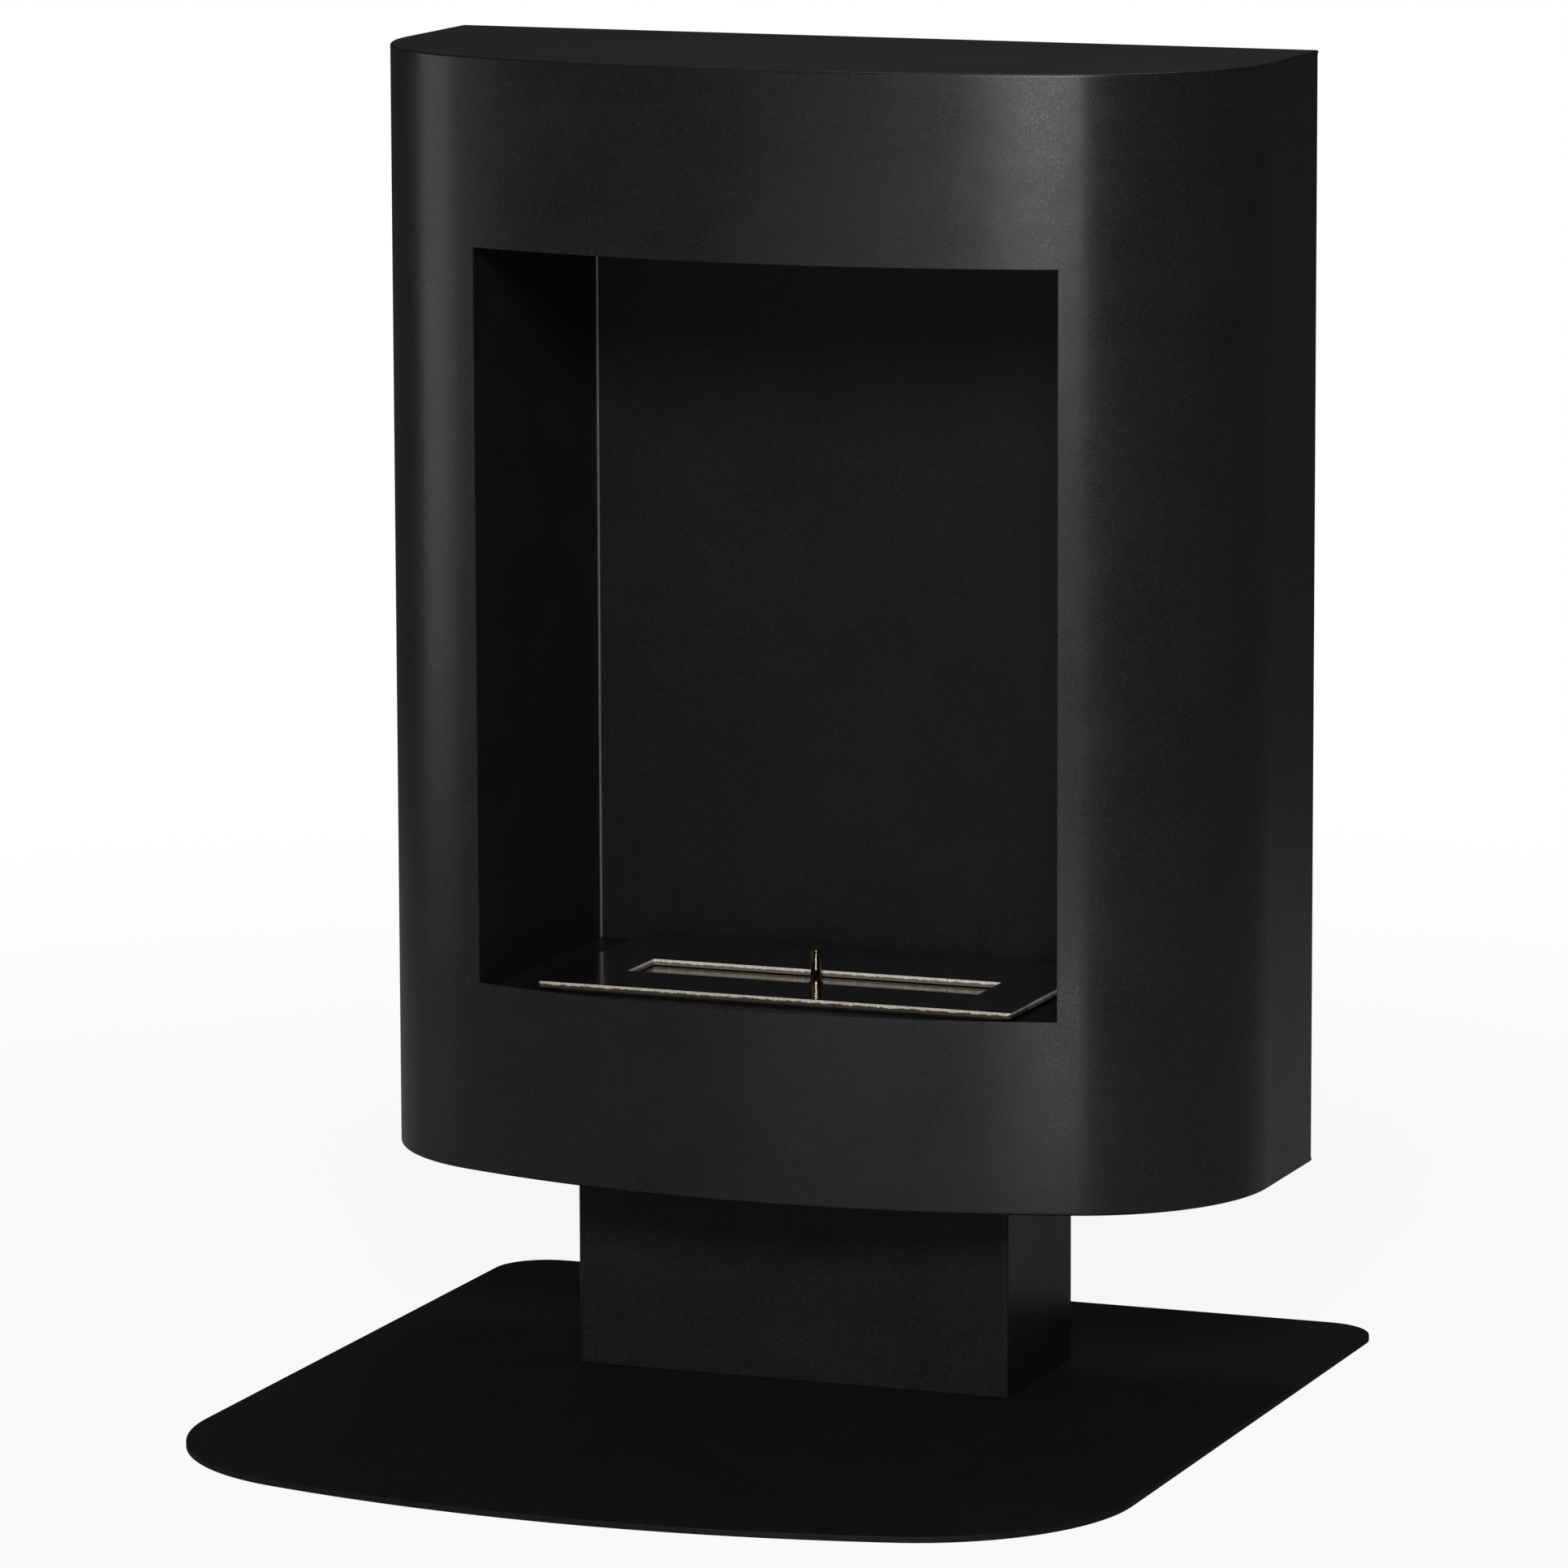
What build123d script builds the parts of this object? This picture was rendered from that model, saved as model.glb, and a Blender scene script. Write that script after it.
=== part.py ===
from build123d import *

import os
from math import sqrt

# A free-standing bioethanol fireplace: a sheet-steel body with a D-shaped plan and one front
# window stands on a boxed pedestal and a D-shaped base plate. A liner, a floor and a ceiling
# make the firebox. The stainless burner lifts out of the firebox floor, and its slider
# closes the flame slot.
#
# Millimetres. +X is right, +Y is back, +Z is up. The origin is on the floor, under the
# middle of the base plate. Every piece is modelled where it sits at rest, slider closed.

# Base plate
BASE_WIDTH = 630.0
BASE_DEPTH = 680.0
BASE_T = 4.0
BASE_CORNER_R = 142.0
BASE_FRONT_R = 822.0
BASE_REAR_R = 37.0
BASE_EDGE_BEVEL = 0.5

# Pedestal, a folded sleeve with flanges turned inwards at both ends
PEDESTAL_WIDTH = 300.0
PEDESTAL_DEPTH = 126.0
PEDESTAL_HEIGHT = 134.0
PEDESTAL_T = 2.0
PEDESTAL_BEND_R = 2.5
PEDESTAL_FLANGE = 24.0
PEDESTAL_SETBACK = 50.0

# Body
BODY_WIDTH = 600.0
BODY_DEPTH = 253.0
BODY_HEIGHT = 731.0
BODY_SETBACK = 110.0
BODY_CORNER_R = 130.0
BODY_FRONT_R = 657.0
SHELL_T = 1.5
SHELL_BEND_R = 1.0
RETURN_WIDTH = 22.0
END_PANEL_T = 2.0
END_PANEL_BEVEL = 1.2
BACK_T = 1.5
BACK_MARGIN = 3.5

# Window in the shell
WINDOW_WIDTH = 400.0
WINDOW_HEIGHT = 482.0
SILL_HEIGHT = 126.0

# Vent slots in the back panel, one band near the top and one near the bottom
VENT_LENGTH = 110.0
VENT_WIDTH = 7.0
VENT_PITCH = 150.0
VENT_COLUMNS = 3
VENT_END_DISTANCE = 60.0

# Firebox
LINER_T = 1.2
LINER_BEND_R = 2.5
LINER_FLANGE = 20.0
LINER_OVERHANG = 22.0
LINER_SIDE_GAP = 0.5
REAR_AIR_GAP = 10.3
SILL_LIP = 5.3
LINTEL_LIP = 1.0
PAN_T = 1.2
PAN_FLANGE = 20.0
PAN_BEND_R = 0.5
PAN_EDGE = 1.0
PAN_CORNER_R = 4.0
PAN_NOTCH = 6.0

# Floor supports, two channels between the bottom panel and the firebox floor
SUPPORT_T = 1.5
SUPPORT_FLANGE = 18.0
SUPPORT_LENGTH = 160.0
SUPPORT_TRAY_GAP = 18.0
SUPPORT_HOLE_LENGTH = 76.0
SUPPORT_HOLE_WIDTH = 40.0

# Burner
PLATE_LENGTH = 328.0
PLATE_DEPTH = 174.0
PLATE_T = 4.0
PLATE_CORNER_R = 3.0
PLATE_REAR_GAP = 21.8
SLOT_END_MARGIN = 42.0
SLOT_WIDTH = 45.0
SLOT_FORWARD = 11.0
SLOT_CORNER_R = 1.0
TRAY_END_MARGIN = 14.0
TRAY_SIDE_MARGIN = 13.0
TRAY_DEPTH = 65.0
TRAY_T = 1.5
TRAY_CORNER_R = 9.0
TRAY_FLANGE_INSET = 6.0
TRAY_CLEARANCE = 2.0
GASKET_T = 1.0
GASKET_CLEARANCE = 1.5
WOOL_HEIGHT = 45.0
WOOL_GAP = 0.5
RETAINER_T = 0.8
RETAINER_LIP = 6.0
RETAINER_HOLE_LENGTH = 26.0
RETAINER_HOLE_WIDTH = 16.0
RETAINER_MARGIN = 13.0
RETAINER_PITCH_X = 34.0
RETAINER_PITCH_Y = 28.0

# Slider, its pin and its rails
SLIDER_T = 1.5
SLIDER_OVERLAP = 6.0
SLIDER_GAP = 0.5
SLIDER_TRAVEL = 21.0
PIN_R = 3.6
PIN_HEIGHT = 22.0
PIN_TIP_BEVEL = 0.8
PIN_BACKWARD = 4.0
COLLAR_R = 5.0
COLLAR_T = 0.8
STUD_R = 2.0
STUD_LENGTH = 4.5
PIN_NUT_FLATS = 7.0
PIN_NUT_T = 3.2
RAIL_T = 1.2
RAIL_LEDGE = 6.0
RAIL_FLANGE = 8.4
RAIL_FRONT_MARGIN = 4.0
RAIL_SIDE_GAP = 0.4
RAIL_GAP = 0.3

# Fasteners
BOLT_R = 3.0
BOLT_CLEARANCE = 0.3
BOLT_HEAD_FLATS = 10.0
BOLT_HEAD_T = 5.0
NUT_FLATS = 10.0
NUT_T = 5.0
THREAD_END = 2.0
FLANGE_BOLT_X = 110.0
COUNTERSINK_R = 6.0
COUNTERSINK_RECESS = 0.3
SCREW_R = 1.9
SCREW_HEAD_R = 3.8
SCREW_HEAD_T = 2.2
SCREW_HEAD_BEVEL = 0.9
SCREW_LENGTH = 8.0
SCREW_ROWS = 3
SCREW_END_DISTANCE = 40.0

# Clearance between sheets that lie against each other, and a length past every cut face
FIT = 0.1
PAST = 5.0

# Levels and places worked out from the sizes above
BODY_REAR = BASE_DEPTH / 2 - BODY_SETBACK
BODY_FRONT = BODY_REAR - BODY_DEPTH
BODY_BOTTOM = BASE_T + PEDESTAL_HEIGHT
BODY_TOP = BODY_BOTTOM + BODY_HEIGHT
SHELL_BOTTOM = BODY_BOTTOM + END_PANEL_T
SHELL_TOP = BODY_TOP - END_PANEL_T
SILL = BODY_BOTTOM + SILL_HEIGHT
LINTEL = SILL + WINDOW_HEIGHT
PEDESTAL_REAR = BODY_REAR - PEDESTAL_SETBACK
PEDESTAL_Y = PEDESTAL_REAR - PEDESTAL_DEPTH / 2
LINER_X = WINDOW_WIDTH / 2 + LINER_SIDE_GAP
LINER_Y = BODY_REAR - BACK_T - REAR_AIR_GAP - LINER_T
INNER_INSET = SHELL_T + FIT
BOLT_HOLE_R = BOLT_R + BOLT_CLEARANCE
COUNTERSINK_DEPTH = COUNTERSINK_R - BOLT_HOLE_R
SCREW_HOLE_R = SCREW_R + FIT
STUD_HOLE_R = STUD_R + FIT
FLOOR_TOP = SILL - SILL_LIP
CEILING_BOTTOM = LINTEL + LINTEL_LIP
TRAY_FLANGE_BOTTOM = FLOOR_TOP + GASKET_T
PLATE_BOTTOM = TRAY_FLANGE_BOTTOM + TRAY_T
PLATE_TOP = PLATE_BOTTOM + PLATE_T
BURNER_Y = LINER_Y - PLATE_REAR_GAP - PLATE_DEPTH / 2
TRAY_LENGTH = PLATE_LENGTH - 2 * TRAY_END_MARGIN
TRAY_WIDTH = PLATE_DEPTH - 2 * TRAY_SIDE_MARGIN
SLOT_LENGTH = PLATE_LENGTH - 2 * SLOT_END_MARGIN
TRAY_BOTTOM = PLATE_BOTTOM - TRAY_DEPTH
WOOL_BOTTOM = TRAY_BOTTOM + TRAY_T
RETAINER_BOTTOM = WOOL_BOTTOM + WOOL_HEIGHT
RETAINER_COLUMNS = int((TRAY_LENGTH - 2 * RETAINER_MARGIN) / RETAINER_PITCH_X)
RETAINER_ROWS = int((TRAY_WIDTH - 2 * RETAINER_MARGIN) / RETAINER_PITCH_Y)
SLOT_Y = BURNER_Y - SLOT_FORWARD
SLIDER_TOP = PLATE_BOTTOM - SLIDER_GAP
SLIDER_BOTTOM = SLIDER_TOP - SLIDER_T
SLIDER_HALF_LENGTH = SLOT_LENGTH / 2 + SLIDER_OVERLAP
SLIDER_HALF_WIDTH = SLOT_WIDTH / 2 + SLIDER_OVERLAP
PIN_Y = SLOT_Y + PIN_BACKWARD
SUPPORT_X = TRAY_LENGTH / 2 + SUPPORT_TRAY_GAP
SCREW_X = BODY_WIDTH / 2 - SHELL_T - RETURN_WIDTH / 2
FLANGE_BOLT_Y = PEDESTAL_DEPTH / 2 - PEDESTAL_T - PEDESTAL_FLANGE / 2
FLANGE_BOLTS = [
    (x, PEDESTAL_Y + y)
    for x in (-FLANGE_BOLT_X, FLANGE_BOLT_X)
    for y in (-FLANGE_BOLT_Y, FLANGE_BOLT_Y)
]


# ---------------------------------------------------------------- shapes used more than once


def d_plan(width, front, rear, corner_r, front_r, rear_r=0.0):
    """Flat back, straight sides and two corner arcs that run tangent into a wide front arc."""
    half = width / 2
    corner_x = half - corner_r
    front_centre = front + front_r
    reach = front_r - corner_r
    corner_y = front_centre - sqrt(reach**2 - corner_x**2)
    meet_x = corner_x * front_r / reach
    meet_y = front_centre - (front_centre - corner_y) * front_r / reach
    lines = [
        ThreePointArc((-meet_x, meet_y), (0, front), (meet_x, meet_y)),
        TangentArc((half, corner_y), (meet_x, meet_y), tangent=(0, -1), tangent_from_first=True),
        Line((half, corner_y), (half, rear)),
        Line((half, rear), (-half, rear)),
        Line((-half, rear), (-half, corner_y)),
        TangentArc((-half, corner_y), (-meet_x, meet_y), tangent=(0, -1), tangent_from_first=True),
    ]
    plan = make_face(Curve() + lines)
    if rear_r > 0:
        plan = fillet(plan.vertices().sort_by(Axis.Y)[-2:], rear_r)
    return plan


def body_plan(inset, rear_inset, rear_r=0.0):
    """The body's plan, moved in from its front and sides by inset."""
    return d_plan(
        BODY_WIDTH - 2 * inset,
        BODY_FRONT + inset,
        BODY_REAR - rear_inset,
        BODY_CORNER_R - inset,
        BODY_FRONT_R - inset,
        rear_r,
    )


def prism(plan, bottom, top):
    """A plan drawn at z = 0, stood up between two levels."""
    return extrude(Pos(0, 0, bottom) * plan, top - bottom)


def block(x_range, y_range, z_range):
    """A box from its three ranges."""
    size = [high - low for low, high in (x_range, y_range, z_range)]
    middle = [(high + low) / 2 for low, high in (x_range, y_range, z_range)]
    return Pos(*middle) * Box(*size)


def rectangle(length, width, radius, x=0.0, y=0.0):
    """A rectangle with rounded corners, centred on x, y."""
    return Pos(x, y) * RectangleRounded(length, width, radius)


def rod(radius, bottom, top, x=0.0, y=0.0):
    """An upright cylinder."""
    return Pos(x, y, (bottom + top) / 2) * Cylinder(radius, top - bottom)


def hexagon(flats, bottom, top, x, y):
    """An upright hexagon bar, such as a nut or a bolt's head."""
    plan = RegularPolygon(flats / 2, 6, major_radius=False)
    return prism(Pos(x, y) * plan, bottom, top)


def left_and_right(piece):
    """A piece and its mirror image across the middle of the object."""
    return piece + mirror(piece, about=Plane.YZ)


# ------------------------------------------------------------------------- base and pedestal


def base_plate():
    """Flat plate that keeps the fireplace from tipping, countersunk from below."""
    plan = d_plan(
        BASE_WIDTH,
        -BASE_DEPTH / 2,
        BASE_DEPTH / 2,
        BASE_CORNER_R,
        BASE_FRONT_R,
        BASE_REAR_R,
    )
    plate = prism(plan, 0, BASE_T)
    plate = chamfer(plate.edges().group_by(Axis.Z)[-1], BASE_EDGE_BEVEL)
    for x, y in FLANGE_BOLTS:
        plate -= rod(BOLT_HOLE_R, -PAST, BASE_T + PAST, x, y)
        plate -= countersink_cone(BOLT_HOLE_R, 0, x, y)
    return plate


def countersink_cone(shank_r, recess, x, y):
    """The cone of a flat head, its wide end facing down."""
    wide = COUNTERSINK_R - recess
    cone = Cone(wide, shank_r, COUNTERSINK_DEPTH)
    return Pos(x, y, recess + COUNTERSINK_DEPTH / 2) * cone


def pedestal():
    """Folded sleeve with an inward flange at each end."""
    outer = rectangle(PEDESTAL_WIDTH, PEDESTAL_DEPTH, PEDESTAL_BEND_R, y=PEDESTAL_Y)
    inner = rectangle(
        PEDESTAL_WIDTH - 2 * PEDESTAL_T,
        PEDESTAL_DEPTH - 2 * PEDESTAL_T,
        PEDESTAL_BEND_R - PEDESTAL_T,
        y=PEDESTAL_Y,
    )
    way_in = Pos(0, PEDESTAL_Y) * Rectangle(
        PEDESTAL_WIDTH - 2 * (PEDESTAL_T + PEDESTAL_FLANGE),
        PEDESTAL_DEPTH - 2 * (PEDESTAL_T + PEDESTAL_FLANGE),
    )
    sleeve = prism(outer, BASE_T, BODY_BOTTOM)
    sleeve -= prism(inner, BASE_T + PEDESTAL_T, BODY_BOTTOM - PEDESTAL_T)
    sleeve -= prism(way_in, BASE_T - PAST, BODY_BOTTOM + PAST)
    for x, y in FLANGE_BOLTS:
        sleeve -= rod(BOLT_HOLE_R, BASE_T - PAST, BODY_BOTTOM + PAST, x, y)
    return sleeve


def base_screws():
    """Flat-head screws that come up through the base plate."""
    top = BASE_T + PEDESTAL_T + NUT_T + THREAD_END
    screws = []
    for x, y in FLANGE_BOLTS:
        screw = countersink_cone(BOLT_R, COUNTERSINK_RECESS, x, y)
        screw += rod(BOLT_R, COUNTERSINK_RECESS + COUNTERSINK_DEPTH, top, x, y)
        screws.append(screw)
    return screws


def nut(bottom, x, y):
    """Hexagon nut round a bolt."""
    blank = hexagon(NUT_FLATS, bottom, bottom + NUT_T, x, y)
    return blank - rod(BOLT_R + FIT, bottom - PAST, bottom + NUT_T + PAST, x, y)


def base_nuts():
    """Nuts on the pedestal's lower flange."""
    return [nut(BASE_T + PEDESTAL_T, x, y) for x, y in FLANGE_BOLTS]


def body_bolts():
    """Hexagon bolts that come up through the pedestal's upper flange into the body."""
    seat = BODY_BOTTOM - PEDESTAL_T
    top = SHELL_BOTTOM + NUT_T + THREAD_END
    bolts = []
    for x, y in FLANGE_BOLTS:
        head = hexagon(BOLT_HEAD_FLATS, seat - BOLT_HEAD_T, seat, x, y)
        bolts.append(head + rod(BOLT_R, seat, top, x, y))
    return bolts


def body_nuts():
    """Nuts on the inside of the bottom panel."""
    return [nut(SHELL_BOTTOM, x, y) for x, y in FLANGE_BOLTS]


# -------------------------------------------------------------------------------------- body


def outer_shell():
    """One sheet rolled round the front and sides, returned along the rear edges."""
    outer = body_plan(0, BACK_T, SHELL_BEND_R + SHELL_T)
    inner = body_plan(SHELL_T, BACK_T + SHELL_T, SHELL_BEND_R)
    shell = prism(outer - inner, SHELL_BOTTOM, SHELL_TOP)
    rear_half = BODY_WIDTH / 2 - SHELL_T - RETURN_WIDTH
    rear = BODY_REAR - BACK_T - SHELL_T
    shell -= block((-rear_half, rear_half), (rear - PAST, rear + PAST), (0, BODY_TOP))
    half = WINDOW_WIDTH / 2
    shell -= block((-half, half), (BODY_FRONT - PAST, BURNER_Y), (SILL, LINTEL))
    for x, z in back_screw_places():
        shell -= Pos(x, BODY_REAR, z) * Rot(90, 0, 0) * Cylinder(SCREW_HOLE_R, 4 * PAST)
    return shell


def end_panel(bottom):
    """Plate with the body's full plan, for its top or its bottom."""
    return prism(body_plan(0, 0, SHELL_BEND_R + SHELL_T), bottom, bottom + END_PANEL_T)


def top_panel():
    """Closed lid, welded to the shell, its edge ground to a small bevel."""
    plate = end_panel(SHELL_TOP)
    return chamfer(plate.edges().group_by(Axis.Z)[-1], END_PANEL_BEVEL)


def bottom_panel():
    """Floor of the body, ground like the lid and drilled for the pedestal bolts."""
    plate = end_panel(BODY_BOTTOM)
    plate = chamfer(plate.edges().group_by(Axis.Z)[0], END_PANEL_BEVEL)
    for x, y in FLANGE_BOLTS:
        plate -= rod(BOLT_HOLE_R, BODY_BOTTOM - PAST, SHELL_BOTTOM + PAST, x, y)
    return plate


def back_screw_places():
    """Places of the back panel's screws, as x and z."""
    low = SHELL_BOTTOM + SCREW_END_DISTANCE
    step = (SHELL_TOP - SCREW_END_DISTANCE - low) / (SCREW_ROWS - 1)
    return [(side * SCREW_X, low + row * step) for side in (-1, 1) for row in range(SCREW_ROWS)]


def back_panel():
    """Flat cover of the rear, with a row of vent slots near each end."""
    height = SHELL_TOP - SHELL_BOTTOM - 2 * FIT
    middle = (SHELL_TOP + SHELL_BOTTOM) / 2
    sketch = Rectangle(BODY_WIDTH - 2 * BACK_MARGIN, height)
    row = height / 2 - VENT_END_DISTANCE
    slots = GridLocations(VENT_PITCH, 2 * row, VENT_COLUMNS, 2)
    sketch -= slots * SlotOverall(VENT_LENGTH, VENT_WIDTH)
    for x, z in back_screw_places():
        sketch -= Pos(x, z - middle) * Circle(SCREW_HOLE_R)
    upright = Plane(origin=(0, BODY_REAR, middle), x_dir=(1, 0, 0), z_dir=(0, -1, 0))
    return extrude(upright * sketch, BACK_T)


def back_screws():
    """Pan-head screws that hold the back panel on the shell's returns."""
    screws = []
    for x, z in back_screw_places():
        head = rod(SCREW_HEAD_R, 0, SCREW_HEAD_T)
        head = chamfer(head.edges().group_by(Axis.Z)[-1], SCREW_HEAD_BEVEL)
        screw = head + rod(SCREW_R, -SCREW_LENGTH, 0)
        screws.append(Pos(x, BODY_REAR, z) * Rot(-90, 0, 0) * screw)
    return screws


# ----------------------------------------------------------------------------------- firebox


def firebox_liner():
    """One sheet bent to a U makes both side walls and the back of the firebox."""
    bottom = FLOOR_TOP - LINER_OVERHANG
    top = CEILING_BOTTOM + LINER_OVERHANG
    length = LINER_Y - BODY_FRONT + PAST
    outer = rectangle_to(LINER_X + LINER_T, LINER_Y + LINER_T, length, LINER_BEND_R + LINER_T)
    inner = rectangle_to(LINER_X, LINER_Y, length + PAST, LINER_BEND_R)
    inside_shell = body_plan(INNER_INSET, 0)
    walls = prism((outer - inner) & inside_shell, bottom, top)
    band = prism(inside_shell - body_plan(INNER_INSET + LINER_T, 0), bottom, top)
    beside_window = (LINER_X, LINER_X + LINER_FLANGE)
    flange = band & block(beside_window, (BODY_FRONT - PAST, BURNER_Y), (bottom, top))
    return walls + left_and_right(flange)


def rectangle_to(half_width, rear, length, rear_r):
    """A rectangle that ends at rear, with its two rear corners rounded."""
    plan = Pos(0, rear - length / 2) * Rectangle(2 * half_width, length)
    return fillet(plan.vertices().sort_by(Axis.Y)[-2:], rear_r)


def firebox_plan(inset, corner_r):
    """The plan inside the liner and the shell, moved in by inset."""
    rear = LINER_Y - FIT - inset
    length = rear - BODY_FRONT + PAST
    inside = rectangle_to(LINER_X - FIT - inset, rear, length, corner_r)
    return inside & body_plan(INNER_INSET + inset, 0)


def pan(face, away, edge=0.0):
    """Floor or ceiling sheet at level face, with a flange on all four sides and open corners.

    away is -1 where the flanges hang below the sheet and +1 where they stand above it, and
    edge is the size of the bevel that stands for the bend.
    """
    tip = face + away * PAN_FLANGE
    under = face + away * PAN_T
    outer = prism(firebox_plan(0, PAN_CORNER_R), *sorted((face, tip)))
    if edge > 0:
        outer = chamfer(outer.edges().group_by(Axis.Z)[-1 if away < 0 else 0], edge)
    inner = prism(firebox_plan(PAN_T, PAN_CORNER_R - PAN_T), *sorted((under, tip + away)))
    sheet = outer - inner
    corner = LINER_X - FIT
    front = BODY_FRONT + BODY_FRONT_R - sqrt(BODY_FRONT_R**2 - corner**2)
    levels = sorted((under + away * PAN_BEND_R, tip + away))
    across = (corner - PAN_NOTCH, corner + PAST)
    notches = block(across, (front - PAN_NOTCH, front + 2 * PAN_NOTCH), levels)
    notches += block(across, (LINER_Y - PAN_NOTCH, LINER_Y + PAST), levels)
    return sheet - left_and_right(notches)


def firebox_floor():
    """Floor with bent edges and the cut-out that the burner hangs in."""
    floor = pan(FLOOR_TOP, -1, PAN_EDGE)
    cut = rectangle(
        TRAY_LENGTH + 2 * TRAY_CLEARANCE,
        TRAY_WIDTH + 2 * TRAY_CLEARANCE,
        TRAY_CORNER_R + TRAY_CLEARANCE,
        y=BURNER_Y,
    )
    return floor - prism(cut, FLOOR_TOP - PAST, FLOOR_TOP + PAST)


def firebox_ceiling():
    """Plain ceiling, its flanges turned up."""
    return pan(CEILING_BOTTOM, 1)


def floor_support_right():
    """Channel under the firebox floor, right of the burner, with an oval hole in its web."""
    bottom = SHELL_BOTTOM
    top = FLOOR_TOP - PAN_T
    far = SUPPORT_X + SUPPORT_T + SUPPORT_FLANGE
    half = SUPPORT_LENGTH / 2
    channel = block((SUPPORT_X, far), (BURNER_Y - half, BURNER_Y + half), (bottom, top))
    channel -= block(
        (SUPPORT_X + SUPPORT_T, far + PAST),
        (BURNER_Y - half - PAST, BURNER_Y + half + PAST),
        (bottom + SUPPORT_T, top - SUPPORT_T),
    )
    middle = (SUPPORT_X, BURNER_Y, (bottom + top) / 2)
    upright = Plane(origin=middle, x_dir=(0, 1, 0), z_dir=(1, 0, 0))
    hole = SlotOverall(SUPPORT_HOLE_LENGTH, SUPPORT_HOLE_WIDTH)
    return channel - extrude(upright * hole, PAST, both=True)


def floor_support_left():
    """The same channel on the left of the burner."""
    return mirror(floor_support_right(), about=Plane.YZ)


# ------------------------------------------------------------------------------------ burner


def burner_top_plate():
    """Thick polished plate with the flame slot."""
    plan = rectangle(PLATE_LENGTH, PLATE_DEPTH, PLATE_CORNER_R, y=BURNER_Y)
    plan -= rectangle(SLOT_LENGTH, SLOT_WIDTH, SLOT_CORNER_R, y=SLOT_Y)
    return prism(plan, PLATE_BOTTOM, PLATE_TOP)


def tray_flange_plan():
    """Outline of the tray's flange, set back under the top plate."""
    return rectangle(
        PLATE_LENGTH - 2 * TRAY_FLANGE_INSET,
        PLATE_DEPTH - 2 * TRAY_FLANGE_INSET,
        TRAY_CORNER_R,
        y=BURNER_Y,
    )


def tray_plan(inset):
    """Plan of the tray's well, moved in by inset."""
    return rectangle(
        TRAY_LENGTH - 2 * inset,
        TRAY_WIDTH - 2 * inset,
        TRAY_CORNER_R - inset,
        y=BURNER_Y,
    )


def burner_tray():
    """Drawn fuel tray, its flange welded under the top plate."""
    well = prism(tray_plan(0), TRAY_BOTTOM, PLATE_BOTTOM)
    hollow = prism(tray_plan(TRAY_T), WOOL_BOTTOM, PLATE_BOTTOM + PAST)
    flange = prism(tray_flange_plan(), TRAY_FLANGE_BOTTOM, PLATE_BOTTOM)
    return flange + well - hollow


def burner_gasket():
    """Flat seal between the tray's flange and the firebox floor."""
    ring = tray_flange_plan() - tray_plan(-GASKET_CLEARANCE)
    return prism(ring, FLOOR_TOP, TRAY_FLANGE_BOTTOM)


def wool_pad():
    """Ceramic wool that soaks up the fuel."""
    return prism(tray_plan(TRAY_T + WOOL_GAP), WOOL_BOTTOM, RETAINER_BOTTOM)


def wool_retainer():
    """Perforated sheet with a raised lip that keeps the wool down."""
    inset = TRAY_T + FIT
    top = RETAINER_BOTTOM + RETAINER_T
    sheet = prism(tray_plan(inset), RETAINER_BOTTOM, top + RETAINER_LIP)
    sheet -= prism(tray_plan(inset + RETAINER_T), top, top + RETAINER_LIP + PAST)
    holes = GridLocations(RETAINER_PITCH_X, RETAINER_PITCH_Y, RETAINER_COLUMNS, RETAINER_ROWS)
    hole = Box(RETAINER_HOLE_LENGTH, RETAINER_HOLE_WIDTH, PAST)
    return sheet - Pos(0, BURNER_Y, top) * holes * hole


def slider_rail_right():
    """Z-shaped rail: ledge under the slider, web, flange on the top plate and rear stop."""
    web = SLIDER_HALF_LENGTH + RAIL_SIDE_GAP
    outside = web + RAIL_T
    ledge_tip = web - RAIL_LEDGE
    ledge_top = SLIDER_BOTTOM - RAIL_GAP
    ledge_bottom = ledge_top - RAIL_T
    front = SLOT_Y - SLIDER_HALF_WIDTH - SLIDER_TRAVEL - RAIL_FRONT_MARGIN
    stop = SLOT_Y + SLIDER_HALF_WIDTH + RAIL_GAP
    length = (front, stop + RAIL_T)
    rail = block((ledge_tip, outside), length, (ledge_bottom, ledge_top))
    rail += block((web, outside), length, (ledge_bottom, PLATE_BOTTOM))
    rail += block((web, web + RAIL_FLANGE), length, (PLATE_BOTTOM - RAIL_T, PLATE_BOTTOM))
    rail += block((ledge_tip, outside), (stop, stop + RAIL_T), (ledge_bottom, SLIDER_TOP))
    return rail


def slider_rail_left():
    """The same rail at the slider's left end."""
    return mirror(slider_rail_right(), about=Plane.YZ)


# ------------------------------------------------------------------------------------ slider


def slider_plate():
    """Polished strip that runs in the rails and closes the slot."""
    plan = rectangle(2 * SLIDER_HALF_LENGTH, 2 * SLIDER_HALF_WIDTH, SLOT_CORNER_R, y=SLOT_Y)
    plan -= Pos(0, PIN_Y) * Circle(STUD_HOLE_R)
    return prism(plan, SLIDER_BOTTOM, SLIDER_TOP)


def slider_pin():
    """Turned pin that the slider is moved by, with a collar and a threaded stud."""
    shaft = rod(PIN_R, SLIDER_TOP, SLIDER_TOP + PIN_HEIGHT, 0, PIN_Y)
    shaft = chamfer(shaft.edges().group_by(Axis.Z)[-1], PIN_TIP_BEVEL)
    collar = rod(COLLAR_R, SLIDER_TOP, SLIDER_TOP + COLLAR_T, 0, PIN_Y)
    collar = chamfer(collar.edges().group_by(Axis.Z)[-1], COLLAR_T / 2)
    stud = rod(STUD_R, SLIDER_TOP - SLIDER_T - STUD_LENGTH, SLIDER_TOP, 0, PIN_Y)
    return shaft + collar + stud


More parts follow.
